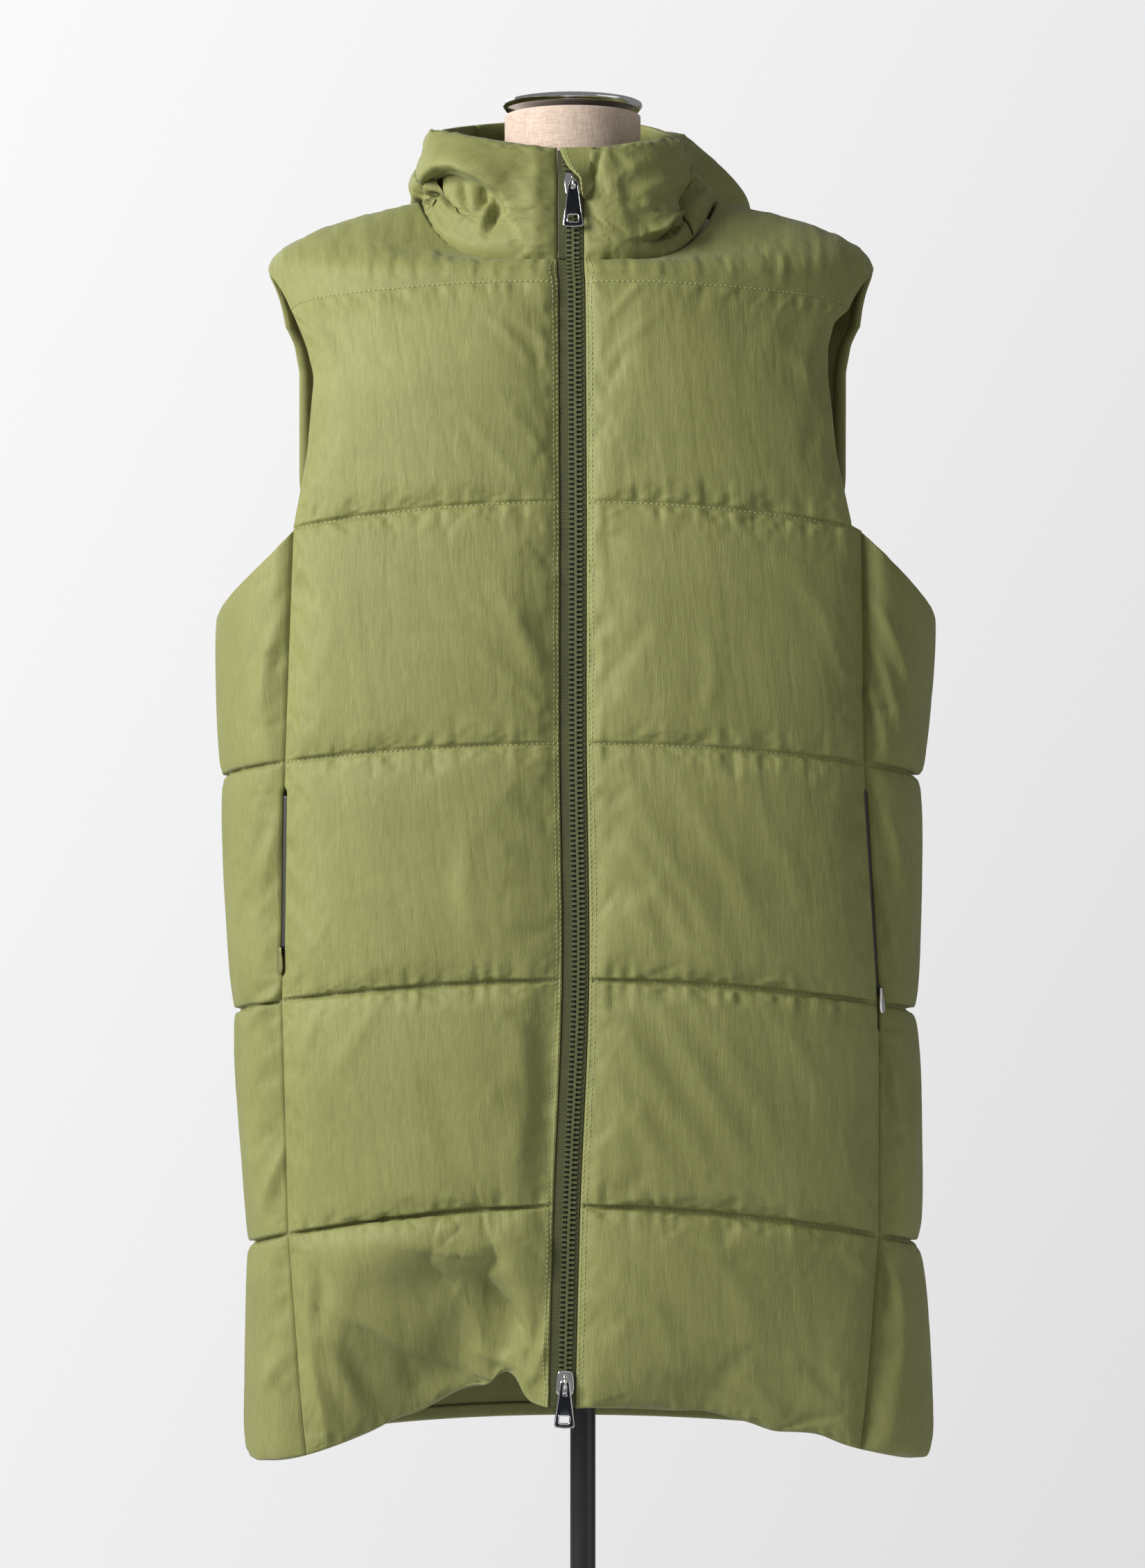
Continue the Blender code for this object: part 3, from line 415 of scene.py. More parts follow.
def run_cloth(cap):
    """Steps all queued sheets together. No point moves further than the cap."""
    scene = bpy.context.scene
    scene.frame_start, scene.frame_end = 1, SIM_FRAMES
    for number in range(1, SIM_FRAMES + 1):
        scene.frame_set(number)
    depsgraph = bpy.context.evaluated_depsgraph_get()
    for job in waiting:
        evaluated = job["sheet"].evaluated_get(depsgraph)
        moved = np.empty(len(evaluated.data.vertices) * 3)
        evaluated.data.vertices.foreach_get("co", moved)
        step = moved.reshape(job["base"].shape) - job["base"]
        length = np.linalg.norm(step, axis=-1, keepdims=True)
        job["made"] = job["base"] + step * np.minimum(1.0, cap / np.maximum(length, 1e-9))
    scene.frame_set(1)
    for job in waiting:
        bpy.data.objects.remove(job["sheet"], do_unlink=True)
        job["sheet"] = None
    waiting.clear()


# ---------------------------------------------------------------- the quilted panels
ROWS = 34                    # of the simulated grid between quilt lines; the shown one has twice
SHOULDER_ROWS = 8
ROW_BUNCHING = 0.085
BAFFLE_HEIGHT = 0.185
LINE_FULLNESS = (0.0, 0.10, 0.18, 0.55, 0.62, 0.85, 0.80, 0.65, 0.0)   # at each quilt line, hem first
GROOVE = (0.0, 0.0020, 0.0018, 0.0009, 0.0008, 0.0007, 0.0, 0.0, 0.0)   # how deep each is sewn in
CROWN_SAG = 0.80             # below 1 the padding is fullest under the middle of a baffle
TUCK = {"front_left": (0.060, 0.085), "front_right": (0.018, 0.12)}
SIDE_FULLNESS = {"side_left": 1.05, "side_right": 1.75}
STEP = 0.0056
panels = {}


def levels_up_to(top):
    """Row levels, closer together near the quilt lines."""
    even = np.arange(ROWS) / ROWS
    share = even - ROW_BUNCHING * np.sin(2 * math.pi * even)
    levels = [share + baffle for baffle in range(int(min(top, YOKE)))]
    if top > YOKE:
        levels.append(YOKE + np.arange((NECKLINE - YOKE) * SHOULDER_ROWS) / SHOULDER_ROWS)
    return np.concatenate((*levels, [float(top)]))


def crown(level):
    """The padding's profile between two quilt lines, from 0 at a line to 1."""
    share = (level - np.minimum(np.floor(level), len(BAFFLES) - 1)) ** CROWN_SAG
    from_line = BAFFLE_HEIGHT * (0.5 - np.abs(share - 0.5))
    flat = 0.70 * np.maximum(1 - np.abs(2 * share - 1) ** 3.2, 0.0) ** 0.60
    flat = flat + 0.30 * (1 - np.exp(-from_line / 0.0022))
    return np.where(level >= YOKE, 0.0, flat)


def line_depth(level):
    """How much of the padding is still there at a quilt line: some lines hardly draw the cloth in."""
    return np.interp(level, range(len(LINE_FULLNESS)), LINE_FULLNESS)


def rounded(distance, reach):
    return np.sin(math.pi / 2 * np.clip(distance / reach, 0.0, 1.0))


def padding(angle, level, from_left, from_right, reach_left, reach_right):
    index = np.minimum(np.floor(level).astype(int), YOKE - 1)
    front, side, back = np.moveaxis(BAFFLES[index], -1, 0)
    sideways = np.sin(angle) ** 2
    flat = np.where(np.cos(angle) > 0, front, back)
    height = flat * (1 - sideways) + side * sideways
    kept = line_depth(level) * (1 - sideways)
    shape = kept + (1 - kept) * crown(level)
    return height * shape * rounded(from_left, reach_left) * rounded(from_right, reach_right)


def add_panel(name, angle, level, reach_left, reach_right, growth=0.006, pressure=0.6):
    """Works out a quilted panel's grids and queues its outer side for the simulation."""
    middle = vest_point(angle, level)
    normal = surface_normal(vest_point, angle, level, NECKLINE)
    from_left = distances(middle, 1)
    from_right = from_left[:, -1:] - from_left
    height = padding(angle, level, from_left, from_right, reach_left, reach_right)
    height = height * SIDE_FULLNESS.get(name, 1.0)
    if name.startswith("front"):
        from_zip = from_right if name.endswith("left") else from_left
        height = height * (0.62 + 0.38 * rounded(from_zip, 0.09))
    span = np.sin(math.pi * from_left / from_left[:, -1:])
    above = middle[..., 2] - middle[:1, :, 2]
    tuck, reach = TUCK.get(name, (0.0, 1.0))
    middle = middle - normal * (tuck * span * np.exp(-((above / reach) ** 2)))[..., None]
    outer = middle + normal * (SEAM_HALF + 0.85 * height)[..., None]
    deeper = 0.0020 * np.clip((level - YOKE + 0.3) / 0.3, 0.0, 1.0)
    deeper = deeper * rounded(from_left, 0.03) * rounded(from_right, 0.03)
    inner = middle - normal * (SEAM_HALF + LINING_SHARE * np.maximum(height, 0) + deeper)[..., None]
    line = np.abs(level - np.round(level)) < 1e-6
    pinned = line | (level >= YOKE)
    pinned[:, [0, -1]] = True
    pinned[[0, -1], :] = True
    panels[name] = {
        "job": inflate_later(outer, pinned, growth, pressure), "inner": inner,
        "across": from_left, "level": level, "angle": angle,
    }


def columns_between(first, last, width):
    count = max(8, int(round(width / STEP)))
    share = np.linspace(0.0, 1.0, count + 1)
    return first[:, None] + (last - first)[:, None] * share


def add_front(name, side):
    level = levels_up_to(NECKLINE)
    inner_edge = side * edge_angle(side, level)
    stand_back = SEAM_GAP / 2 + pocket_opening(side, level)
    outer_edge = side * (seam_angle(side, level) - gap_angle(side, level, stand_back))
    pair = (inner_edge, outer_edge) if side > 0 else (outer_edge, inner_edge)
    angle = columns_between(*pair, 0.235)
    level = np.broadcast_to(level[:, None], angle.shape).copy()
    rows = level[:, :1]
    reach_zip = np.interp(rows, (0, 2.2, 3.2, 5), (0.042, 0.034, 0.016, 0.012) if side < 0
                          else (0.016, 0.014, 0.012, 0.010))
    reach_seam = np.where(rows < QUILT_1 + 0.1, 0.020, np.where(rows < YOKE, 0.016, 0.010))
    reach = (reach_zip, reach_seam) if side > 0 else (reach_seam, reach_zip)
    add_panel(name, angle, level, *reach)


def add_side(name, side):
    level = levels_up_to(QUILT_1)
    stand_back = SEAM_GAP / 2 + pocket_opening(side, level)
    first = side * (seam_angle(side, level) + gap_angle(side, level, stand_back))
    last = side * (math.pi - seam_angle(side, level, 2) - gap_angle(side, level, SEAM_GAP / 2))
    angle = columns_between(*((first, last) if side > 0 else (last, first)), 0.235)
    level = np.broadcast_to(level[:, None], angle.shape).copy()
    low = seam_angle(side, np.array(float(QUILT_1)))
    share = np.clip((np.abs(angle) - low) / (math.pi - 2 * low), 0.0, 1.0)
    dip = UNDERARM_DIP * np.sin(math.pi * share) ** 0.6
    level = np.where(level > QUILT_2, QUILT_2 + (level - QUILT_2) * (1 - dip), level)
    add_panel(name, angle, level, 0.020, 0.020)


def add_back(name):
    level = levels_up_to(NECKLINE)
    first = math.pi - seam_angle(1, level, 2) + gap_angle(1, level, SEAM_GAP / 2)
    last = math.pi + seam_angle(-1, level, 2) - gap_angle(-1, level, SEAM_GAP / 2)
    angle = columns_between(first, last, 0.470)
    level = np.broadcast_to(level[:, None], angle.shape).copy()
    rows = level[:, :1]
    reach = np.where(rows < QUILT_1 + 0.1, 0.030, np.where(rows < YOKE, 0.016, 0.010))
    add_panel(name, angle, level, reach, reach)


# ---------------------------------------------------------------- the hood
HOOD_ROWS = 6                # of the simulated grid for each row of the hood's table
HOOD_REACH = 0.02            # how far from a seam the hood's padding reaches its full height
HOOD_PUFF = 0.004
HOOD_GROWTH = 0.015
HOOD_PRESSURE = 0.8


def soft_excess(value, softness):
    return softness * np.logaddexp(0.0, value / softness)


def trimmed(points):
    """Brings the bag's right side in to a straight slope, and the left corner in a little."""
    points = points.copy()
    x, z = points[..., 0], points[..., 2]
    right = np.interp(z, (1.400, 1.428, 1.4637, 1.4874, 1.512), (0.180, 0.150, 0.106, 0.070, 0.046))
    left = np.interp(z, (1.392, 1.420, 1.4476, 1.4706, 1.480), (0.150, 0.140, 0.123, 0.1215, 0.119))
    points[..., 0] = x - soft_excess(x - right, 0.004) + soft_excess(-left - x, 0.002)
    return points


def add_hood(name, first, last, width):
    """Works out a hood piece's grids between two seams and queues its outer side."""
    level = np.arange(HOOD_TOP * HOOD_ROWS + 1) / HOOD_ROWS
    count = max(8, int(round(width / STEP)))
    angle = first(level)[:, None] + (last(level) - first(level))[:, None] * np.linspace(0, 1, count + 1)
    level = np.broadcast_to(level[:, None], angle.shape).copy()
    middle = trimmed(hood_point(angle, level))
    normal = surface_normal(hood_point, angle, level, HOOD_TOP)
    sink = np.clip(1 - level / 0.6, 0.0, 1.0)
    middle = middle - normal * (0.0012 * sink)[..., None]
    middle[..., 2] -= 0.0045 * sink
    from_left, from_low = distances(middle, 1), distances(middle, 0)
    round_edge = rounded(from_left, HOOD_REACH) * rounded(from_left[:, -1:] - from_left, HOOD_REACH)
    round_edge = round_edge * rounded(from_low, 0.015) * rounded(from_low[-1:] - from_low, 0.006)
    thick = SEAM_HALF + (HOOD_HALF_WALL - SEAM_HALF + HOOD_PUFF) * round_edge
    outer = middle + normal * thick[..., None]
    thin = SEAM_HALF + (HOOD_HALF_WALL - SEAM_HALF) * round_edge
    inner = middle - normal * thin[..., None]
    pinned = np.zeros_like(level, bool)
    pinned[:, [0, -1]] = True
    pinned[[0, -1], :] = True
    panels[name] = {
        "job": inflate_later(outer, pinned, HOOD_GROWTH, HOOD_PRESSURE), "inner": inner,
        "across": from_left, "level": level, "angle": angle,
    }


def hood_edge_angle(side, level):
    column = 5 if side > 0 else 4
    return (EDGE_RIGHT if side > 0 else EDGE_LEFT) / spline(HOOD, level)[..., column]


def constant(value):
    return lambda level: np.full_like(level, value)


def right_seam(level):
    return np.radians(np.interp(level, *HOOD_SEAM_RIGHT))


def add_hood_pieces():
    add_hood("hood_left", constant(-(HOOD_SEAM_LEFT - HOOD_GAP)),
             lambda level: -hood_edge_angle(-1, level), 0.30)
    add_hood("hood_right", lambda level: hood_edge_angle(1, level),
             lambda level: right_seam(level) - HOOD_GAP, 0.20)
    add_hood("hood_centre", lambda level: right_seam(level) + HOOD_GAP,
             constant(2 * math.pi - HOOD_SEAM_LEFT - HOOD_GAP), 0.30)


# ---------------------------------------------------------------- materials
class Nodes:
    """Short calls for building a material's nodes."""

    def __init__(self, name):
        self.material = bpy.data.materials.new(name)
        self.material.use_nodes = True
        self.tree = self.material.node_tree
        self.shader = self.tree.nodes["Principled BSDF"]
        self.place = self.tree.nodes.new("ShaderNodeTexCoord").outputs["Object"]

    def set(self, **values):
        for name, value in values.items():
            self.shader.inputs[name.replace("_", " ")].default_value = value
        return self

    def node(self, kind, inputs=(), **settings):
        made = self.tree.nodes.new("ShaderNode" + kind)
        for name, value in settings.items():
            setattr(made, name, value)
        for name, value in dict(inputs).items():
            if isinstance(value, bpy.types.NodeSocket):
                self.tree.links.new(value, made.inputs[name])
            else:
                made.inputs[name].default_value = value
        return made

    def scaled(self, x, y, z, turn=(0, 0, 0)):
        return self.node("Mapping", {"Vector": self.place, "Scale": (x, y, z), "Rotation": turn}).outputs[0]

    def noise(self, scale, detail=3.0, rough=0.5, distort=0.0, kind="FBM", place=None):
        return self.node("TexNoise", {"Vector": place or self.place, "Scale": scale, "Detail": detail,
                                      "Roughness": rough, "Distortion": distort},
                         noise_type=kind).outputs["Fac"]

    def ramp(self, value, stops):
        made = self.node("ValToRGB", {"Fac": value})
        for i, (at, colour) in enumerate(stops):
            stop = made.color_ramp.elements[i] if i < 2 else made.color_ramp.elements.new(at)
            stop.position = at
            stop.color = (*colour, 1.0)
        return made.outputs["Color"]

    def mix(self, share, a, b, blend="MIX"):
        made = self.node("Mix", data_type="RGBA", blend_type=blend)
        for name, value in (("Factor", share), ("A", a), ("B", b)):
            socket = [s for s in made.inputs if s.name == name and s.type != "VECTOR"]
            socket = [s for s in socket if s.type == ("VALUE" if name == "Factor" else "RGBA")][0]
            if isinstance(value, bpy.types.NodeSocket):
                self.tree.links.new(value, socket)
            else:
                socket.default_value = value if name == "Factor" else (*value, 1.0)
        return [s for s in made.outputs if s.type == "RGBA"][0]

    def math(self, operation, a, b=0.0):
        made = self.node("Math", operation=operation)
        for socket, value in zip(made.inputs, (a, b)):
            if isinstance(value, bpy.types.NodeSocket):
                self.tree.links.new(value, socket)
            else:
                socket.default_value = value
        return made.outputs[0]

    def bump(self, height, strength, distance, normal=None):
        inputs = {"Height": height, "Strength": strength, "Distance": distance}
        if normal is not None:
            inputs["Normal"] = normal
        return self.node("Bump", inputs).outputs[0]

    def link(self, **sockets):
        for name, value in sockets.items():
            self.tree.links.new(value, self.shader.inputs[name.replace("_", " ")])
        return self.material


def nylon(name, low, high, crinkle=1.0, ribs=False):
    """Matt nylon with a fine plain weave, washed into small crinkles that run up the cloth."""
    nodes = Nodes(name).set(Roughness=0.64, Sheen_Weight=0.10, Sheen_Roughness=0.45,
                            Specular_IOR_Level=0.46)
    flat = nodes.node("Attribute", attribute_name="flat_cloth").outputs["Vector"]
    wander = nodes.node("TexNoise", {"Vector": flat, "Scale": 12.0, "Detail": 2.0}).outputs["Color"]
    shift = nodes.node("VectorMath", {0: wander, 1: (-0.5, -0.5, -0.5)}, operation="ADD").outputs[0]
    shift = nodes.node("VectorMath", {0: shift, "Scale": 0.012}, operation="SCALE").outputs[0]
    bent = nodes.node("VectorMath", {0: flat, 1: shift}, operation="ADD").outputs[0]

    def stretched(x, y):
        return nodes.node("Mapping", {"Vector": bent, "Scale": (x, y, 50.0)}).outputs[0]

    patches = nodes.noise(9.0, 4.0, 0.6, place=flat)
    upright = nodes.noise(1.0, 6.0, 0.68, place=stretched(420, 70))
    shade = nodes.math("ADD", nodes.math("MULTIPLY", patches, 0.5), nodes.math("MULTIPLY", upright, 0.5))
    colour = nodes.ramp(shade, ((0.38, low), (0.60, high)))
    if ribs:
        # The dark rib bands are painted shade between the tape's ribs.
        rib = nodes.node("TexWave", {"Vector": flat, "Scale": 224.0}, bands_direction="Y").outputs["Fac"]
        colour = nodes.mix(rib, tuple(channel * 0.30 for channel in low), colour)
    where = nodes.math("MULTIPLY", nodes.noise(1.0, 2.0, 0.5, place=stretched(13, 7)), 1.7)
    swells = nodes.math("MULTIPLY", nodes.noise(1.0, 6.0, 0.66, place=stretched(290, 22)), where)
    small = nodes.math("MULTIPLY", nodes.noise(1.0, 5.0, 0.70, place=stretched(900, 80)), where)
    warp = nodes.node("TexWave", {"Vector": flat, "Scale": 620.0, "Distortion": 0.6},
                      bands_direction="X").outputs["Fac"]
    weft = nodes.node("TexWave", {"Vector": flat, "Scale": 620.0, "Distortion": 0.6},
                      bands_direction="Y").outputs["Fac"]
    weave = nodes.math("MULTIPLY", warp, weft)
    normal = nodes.bump(swells, 1.0 * crinkle, 0.00045)
    normal = nodes.bump(small, 1.0 * crinkle, 0.00038, normal)
    normal = nodes.bump(weave, 0.12, 0.00015, normal)
    return nodes.link(Base_Color=colour, Normal=normal)


def plain_material(name, colour, roughness, metallic=0.0, wear=0.08, scale=160.0, **more):
    """A hard finish whose roughness and colour vary a little."""
    nodes = Nodes(name).set(Roughness=roughness, Metallic=metallic, **more)
    marks = nodes.noise(scale, 4.0, 0.65)
    darker = tuple(channel * 0.82 for channel in colour)
    shade = nodes.ramp(marks, ((0.35, darker), (0.65, colour)))
    rough = nodes.math("ADD", nodes.math("MULTIPLY", marks, 2 * wear), roughness - wear)
    return nodes.link(Base_Color=shade, Roughness=rough)


def linen(name):
    """Undyed linen, a plain weave with thicker and thinner threads."""
    nodes = Nodes(name).set(Roughness=0.88, Sheen_Weight=0.2, Specular_IOR_Level=0.2)
    threads = nodes.noise(1.0, 3.0, 0.6, place=nodes.scaled(900, 900, 110))
    cross = nodes.noise(1.0, 3.0, 0.6, place=nodes.scaled(120, 120, 900))
    patches = nodes.noise(22.0, 4.0, 0.6)
    weave = nodes.math("ADD", threads, cross)
    shade = nodes.math("ADD", nodes.math("MULTIPLY", weave, 0.35), nodes.math("MULTIPLY", patches, 0.3))
    colour = nodes.ramp(shade, ((0.40, (0.51, 0.385, 0.300)), (0.62, (0.73, 0.60, 0.500))))
    normal = nodes.bump(weave, 0.5, 0.0004)
    return nodes.link(Base_Color=colour, Normal=normal)


OLIVE = nylon("olive_nylon_cloth", (0.188, 0.195, 0.054), (0.242, 0.249, 0.078))
# The inside copy of the cloth is a little darker: painted shade for the inner faces of the panels, the hood
# and the facings.
OLIVE_INSIDE_SHADED = nylon("olive_nylon_inside_painted_shade", (0.180, 0.190, 0.055), (0.225, 0.235, 0.075), 0.7)
# The zip's tape and teeth are olive, painted darker still for the shade of the recess between the puffed
# fronts.
TAPE = nylon("olive_zip_tape", (0.085, 0.090, 0.027), (0.120, 0.125, 0.040), 0.3, True)
TEETH = plain_material("moulded_teeth", (0.105, 0.118, 0.047), 0.32, wear=0.06, Coat_Weight=0.25)
# Near black under the chain: painted shade where the teeth shade the tape.
SHADE = plain_material("painted_shade_under_the_teeth", (0.010, 0.011, 0.005), 0.9)
THREAD = plain_material("sewing_thread", (0.46, 0.47, 0.23), 0.7, scale=900.0)
# A continuous dark line along the hood's seams: partly its dark thread, partly painted shade in the seam's
# valley.
DARK_THREAD_AND_SEAM_SHADE = plain_material("neck_seam_thread_and_painted_shade", (0.055, 0.062, 0.018), 0.8, scale=900.0)
CHROME = plain_material("bright_chrome", (0.86, 0.86, 0.87), 0.10, 1.0, wear=0.04)
GUNMETAL = plain_material("dark_plating", (0.060, 0.066, 0.080), 0.16, 1.0, wear=0.05)
BLACK = plain_material("black_powder_coat", (0.014, 0.014, 0.016), 0.34, wear=0.10, scale=420.0)
LINEN = linen("undyed_linen")
COIL = plain_material("pocket_zip_coil", (0.020, 0.022, 0.016), 0.5, scale=900.0)
PULL_GOLD = plain_material("olive_gold_pull", (0.30, 0.29, 0.13), 0.35, 0.7)


# ---------------------------------------------------------------- folds placed one by one
# Each fold: points (x, z) along it, its half width, and how far it stands out (or sinks, if < 0).
FOLDS = {
    "front_left": (
        (((-0.2050, 0.5600), (-0.1300, 0.5660), (-0.0300, 0.5580)), 0.0240, 0.0100),
        (((-0.0736, 0.5740), (-0.0690, 0.5568), (-0.0771, 0.5408), (-0.0702, 0.5247), (-0.0565, 0.5018),
          (-0.0440, 0.4812)), 0.0260, -0.0140, "valley", 0.0060),
        (((-0.1190, 0.5680), (-0.1230, 0.5540), (-0.1130, 0.5400), (-0.0960, 0.5300)),
         0.0200, -0.0090, "valley", 0.0060),
        (((-0.0300, 0.7650), (-0.0315, 0.6900), (-0.0330, 0.6100)), 0.0120, -0.0055),
        (((-0.0650, 1.0900), (-0.0500, 1.0600), (-0.0300, 1.0200)), 0.0090, 0.0026),
        (((-0.0244, 0.5180), (-0.0278, 0.4904), (-0.0381, 0.4675), (-0.0484, 0.4500)), 0.0060, 0.0045),
        (((-0.0900, 0.4800), (-0.0650, 0.4725), (-0.0540, 0.4660), (-0.0530, 0.4560)), 0.0055, 0.0035),
        (((-0.2080, 0.5120), (-0.1688, 0.4940), (-0.1390, 0.4743), (-0.0886, 0.4583)),
         0.0170, 0.0050, "step", 0.0050),
        (((-0.1950, 0.4800), (-0.1800, 0.4600), (-0.1700, 0.4400)), 0.0080, -0.0040),
        (((-0.1450, 0.4720), (-0.1400, 0.4560), (-0.1300, 0.4420)), 0.0080, -0.0035),
        (((-0.2140, 0.5600), (-0.2100, 0.5300), (-0.2120, 0.5000)), 0.0070, -0.0030),
        (((-0.053, 1.305), (-0.036, 1.294), (-0.021, 1.278)), 0.0035, 0.0011),
        (((-0.076, 1.310), (-0.052, 1.285), (-0.030, 1.255)), 0.0045, 0.0013),
        (((-0.062, 1.237), (-0.040, 1.212), (-0.023, 1.182)), 0.0045, 0.0013),
        (((-0.100, 1.235), (-0.070, 1.200), (-0.045, 1.168)), 0.0055, 0.0010),
        (((-0.0775, 1.035), (-0.048, 1.012), (-0.0225, 0.985)), 0.0045, 0.0014),
        (((-0.090, 1.085), (-0.060, 1.050), (-0.030, 1.030)), 0.0060, 0.0012),
        (((-0.200, 0.770), (-0.215, 0.745), (-0.226, 0.715)), 0.0050, 0.0016),
        (((-0.160, 0.765), (-0.180, 0.735), (-0.200, 0.700)), 0.0070, 0.0012),
        (((-0.090, 0.900), (-0.095, 0.850), (-0.085, 0.800)), 0.0090, 0.0014),
        (((-0.050, 0.740), (-0.042, 0.690), (-0.050, 0.630)), 0.0080, 0.0012),
        (((-0.130, 0.720), (-0.110, 0.670), (-0.100, 0.620)), 0.0100, -0.0012),
    ),
    "front_right": (
        (((0.0105, 0.930), (0.0545, 0.864), (0.0875, 0.809), (0.1095, 0.784)), 0.0080, 0.0020),
        (((0.027, 0.948), (0.060, 0.890), (0.090, 0.842), (0.118, 0.790)), 0.0085, 0.0016),
        (((0.0765, 0.936), (0.1205, 0.864), (0.1425, 0.8145)), 0.0090, 0.0017),
        (((0.012, 0.895), (0.040, 0.850), (0.060, 0.800)), 0.0080, 0.0016),
        (((0.130, 0.940), (0.165, 0.870), (0.185, 0.820)), 0.0090, 0.0010),
        (((0.0105, 0.765), (0.0655, 0.688), (0.0985, 0.633)), 0.0090, 0.0020),
        (((0.0545, 0.771), (0.0985, 0.694), (0.1315, 0.633)), 0.0090, 0.0019),
        (((0.0875, 0.765), (0.137, 0.688), (0.160, 0.640)), 0.0090, 0.0014),
        (((0.012, 0.720), (0.045, 0.670), (0.070, 0.625)), 0.0080, 0.0014),
        (((0.150, 0.760), (0.185, 0.700), (0.200, 0.660)), 0.0090, 0.0010),
        (((0.203, 0.562), (0.219, 0.552), (0.233, 0.537)), 0.0055, 0.0022),
        (((0.180, 0.470), (0.200, 0.450), (0.216, 0.442)), 0.0060, -0.0030),
        (((0.060, 0.462), (0.095, 0.448), (0.125, 0.430)), 0.0080, -0.0030),
        (((0.110, 0.470), (0.140, 0.450), (0.165, 0.425)), 0.0075, 0.0026),
        (((0.020, 0.560), (0.055, 0.520), (0.080, 0.470)), 0.0090, 0.0014),
        (((0.100, 0.570), (0.130, 0.520), (0.150, 0.480)), 0.0090, 0.0012),
        (((0.015, 1.300), (0.040, 1.330), (0.060, 1.343)), 0.0040, 0.0010),
        (((0.012, 1.262), (0.035, 1.290), (0.060, 1.310)), 0.0045, 0.0010),
        (((0.150, 1.300), (0.185, 1.260), (0.215, 1.200)), 0.0070, 0.0012),
        (((0.100, 1.060), (0.105, 1.020), (0.095, 0.985)), 0.0070, 0.0010),
        (((0.165, 1.110), (0.200, 1.060), (0.215, 1.010)), 0.0080, 0.0014),
    ),
    "side_right": (
        (((0.233, 1.085), (0.2525, 1.045), (0.270, 0.991)), 0.0055, 0.0057),
        (((0.223, 1.035), (0.2385, 0.991), (0.246, 0.955)), 0.0050, 0.0049),
        (((0.232, 1.055), (0.248, 1.015), (0.262, 0.962)), 0.0050, 0.0042),
        (((0.238, 0.925), (0.252, 0.890), (0.258, 0.850)), 0.0055, 0.0038),
        (((0.232, 0.860), (0.246, 0.825), (0.256, 0.790)), 0.0055, 0.0030),
        (((0.236, 0.735), (0.250, 0.705), (0.258, 0.660)), 0.0060, 0.0030),
        (((0.238, 0.560), (0.250, 0.540), (0.262, 0.500)), 0.0060, 0.0034),
    ),
    "side_left": (
        (((-0.238, 1.080), (-0.255, 1.040), (-0.262, 0.990)), 0.0060, 0.0034),
        (((-0.236, 0.925), (-0.250, 0.890), (-0.262, 0.850)), 0.0060, 0.0030),
        (((-0.240, 0.770), (-0.258, 0.758), (-0.272, 0.735)), 0.0050, 0.0046),
        (((-0.240, 0.640), (-0.255, 0.610), (-0.262, 0.585)), 0.0055, 0.0038),
        (((-0.236, 0.480), (-0.250, 0.465), (-0.262, 0.440)), 0.0060, 0.0034),
    ),
    "hood_left": (
        (((-0.1387, 1.4155), (-0.1265, 1.4285), (-0.1142, 1.4330), (-0.1020, 1.4310), (-0.0847, 1.4220),
          (-0.0689, 1.4105), (-0.0632, 1.3985)), 0.0170, 0.0135, "step"),
        (((-0.1122, 1.4535), (-0.0898, 1.4455), (-0.0673, 1.4295), (-0.0490, 1.4055)), 0.0140, 0.0030),
        (((-0.0852, 1.4215), (-0.0831, 1.4100), (-0.0790, 1.4020)), 0.0024, -0.0050),
        (((-0.0691, 1.4062), (-0.0734, 1.3915), (-0.0790, 1.3785)), 0.0030, -0.0065),
        (((-0.1051, 1.4235), (-0.1000, 1.4095), (-0.0949, 1.3985)), 0.0030, -0.0035),
        (((-0.0959, 1.4225), (-0.0923, 1.4095), (-0.0887, 1.3975)), 0.0038, 0.0045),
        (((-0.0760, 1.4145), (-0.0780, 1.3995), (-0.0847, 1.3855)), 0.0034, 0.0050),
        (((-0.1193, 1.4225), (-0.1142, 1.4095), (-0.1061, 1.3975)), 0.0050, 0.0060),
        (((-0.1387, 1.4055), (-0.1306, 1.4095), (-0.1224, 1.4175)), 0.0028, -0.0050),
        (((-0.1030, 1.3855), (-0.0959, 1.3925), (-0.0887, 1.4000)), 0.0014, -0.0020),
        (((-0.0612, 1.4395), (-0.0459, 1.4195), (-0.0367, 1.3945)), 0.0060, 0.0012),
    ),
    "hood_right": (
        (((0.0510, 1.3760), (0.0658, 1.3795), (0.0724, 1.3885), (0.0780, 1.3955), (0.0898, 1.3995)),
         0.0100, 0.0110, "step"),
        (((0.0510, 1.3755), (0.0658, 1.3790), (0.0724, 1.3880), (0.0780, 1.3950), (0.0898, 1.3990)),
         0.0022, -0.0060),
        (((0.0860, 1.4490), (0.0885, 1.4350), (0.0868, 1.4180)), 0.0060, 0.0020),
        (((0.0418, 1.4105), (0.0668, 1.4210), (0.0864, 1.4282)), 0.0060, 0.0035),
        (((0.0331, 1.3965), (0.0612, 1.4045), (0.0806, 1.4155)), 0.0055, 0.0030),
        (((0.0245, 1.4195), (0.0408, 1.4335), (0.0612, 1.4435)), 0.0060, 0.0022),
        (((0.0510, 1.3915), (0.0632, 1.3955), (0.0714, 1.4065)), 0.0045, 0.0030),
        (((0.0153, 1.4485), (0.0087, 1.4265), (0.0041, 1.4055)), 0.0030, -0.0035),
    ),
}


STEP_SHARP = 0.0012          # the width over which a "step" changes from out to in


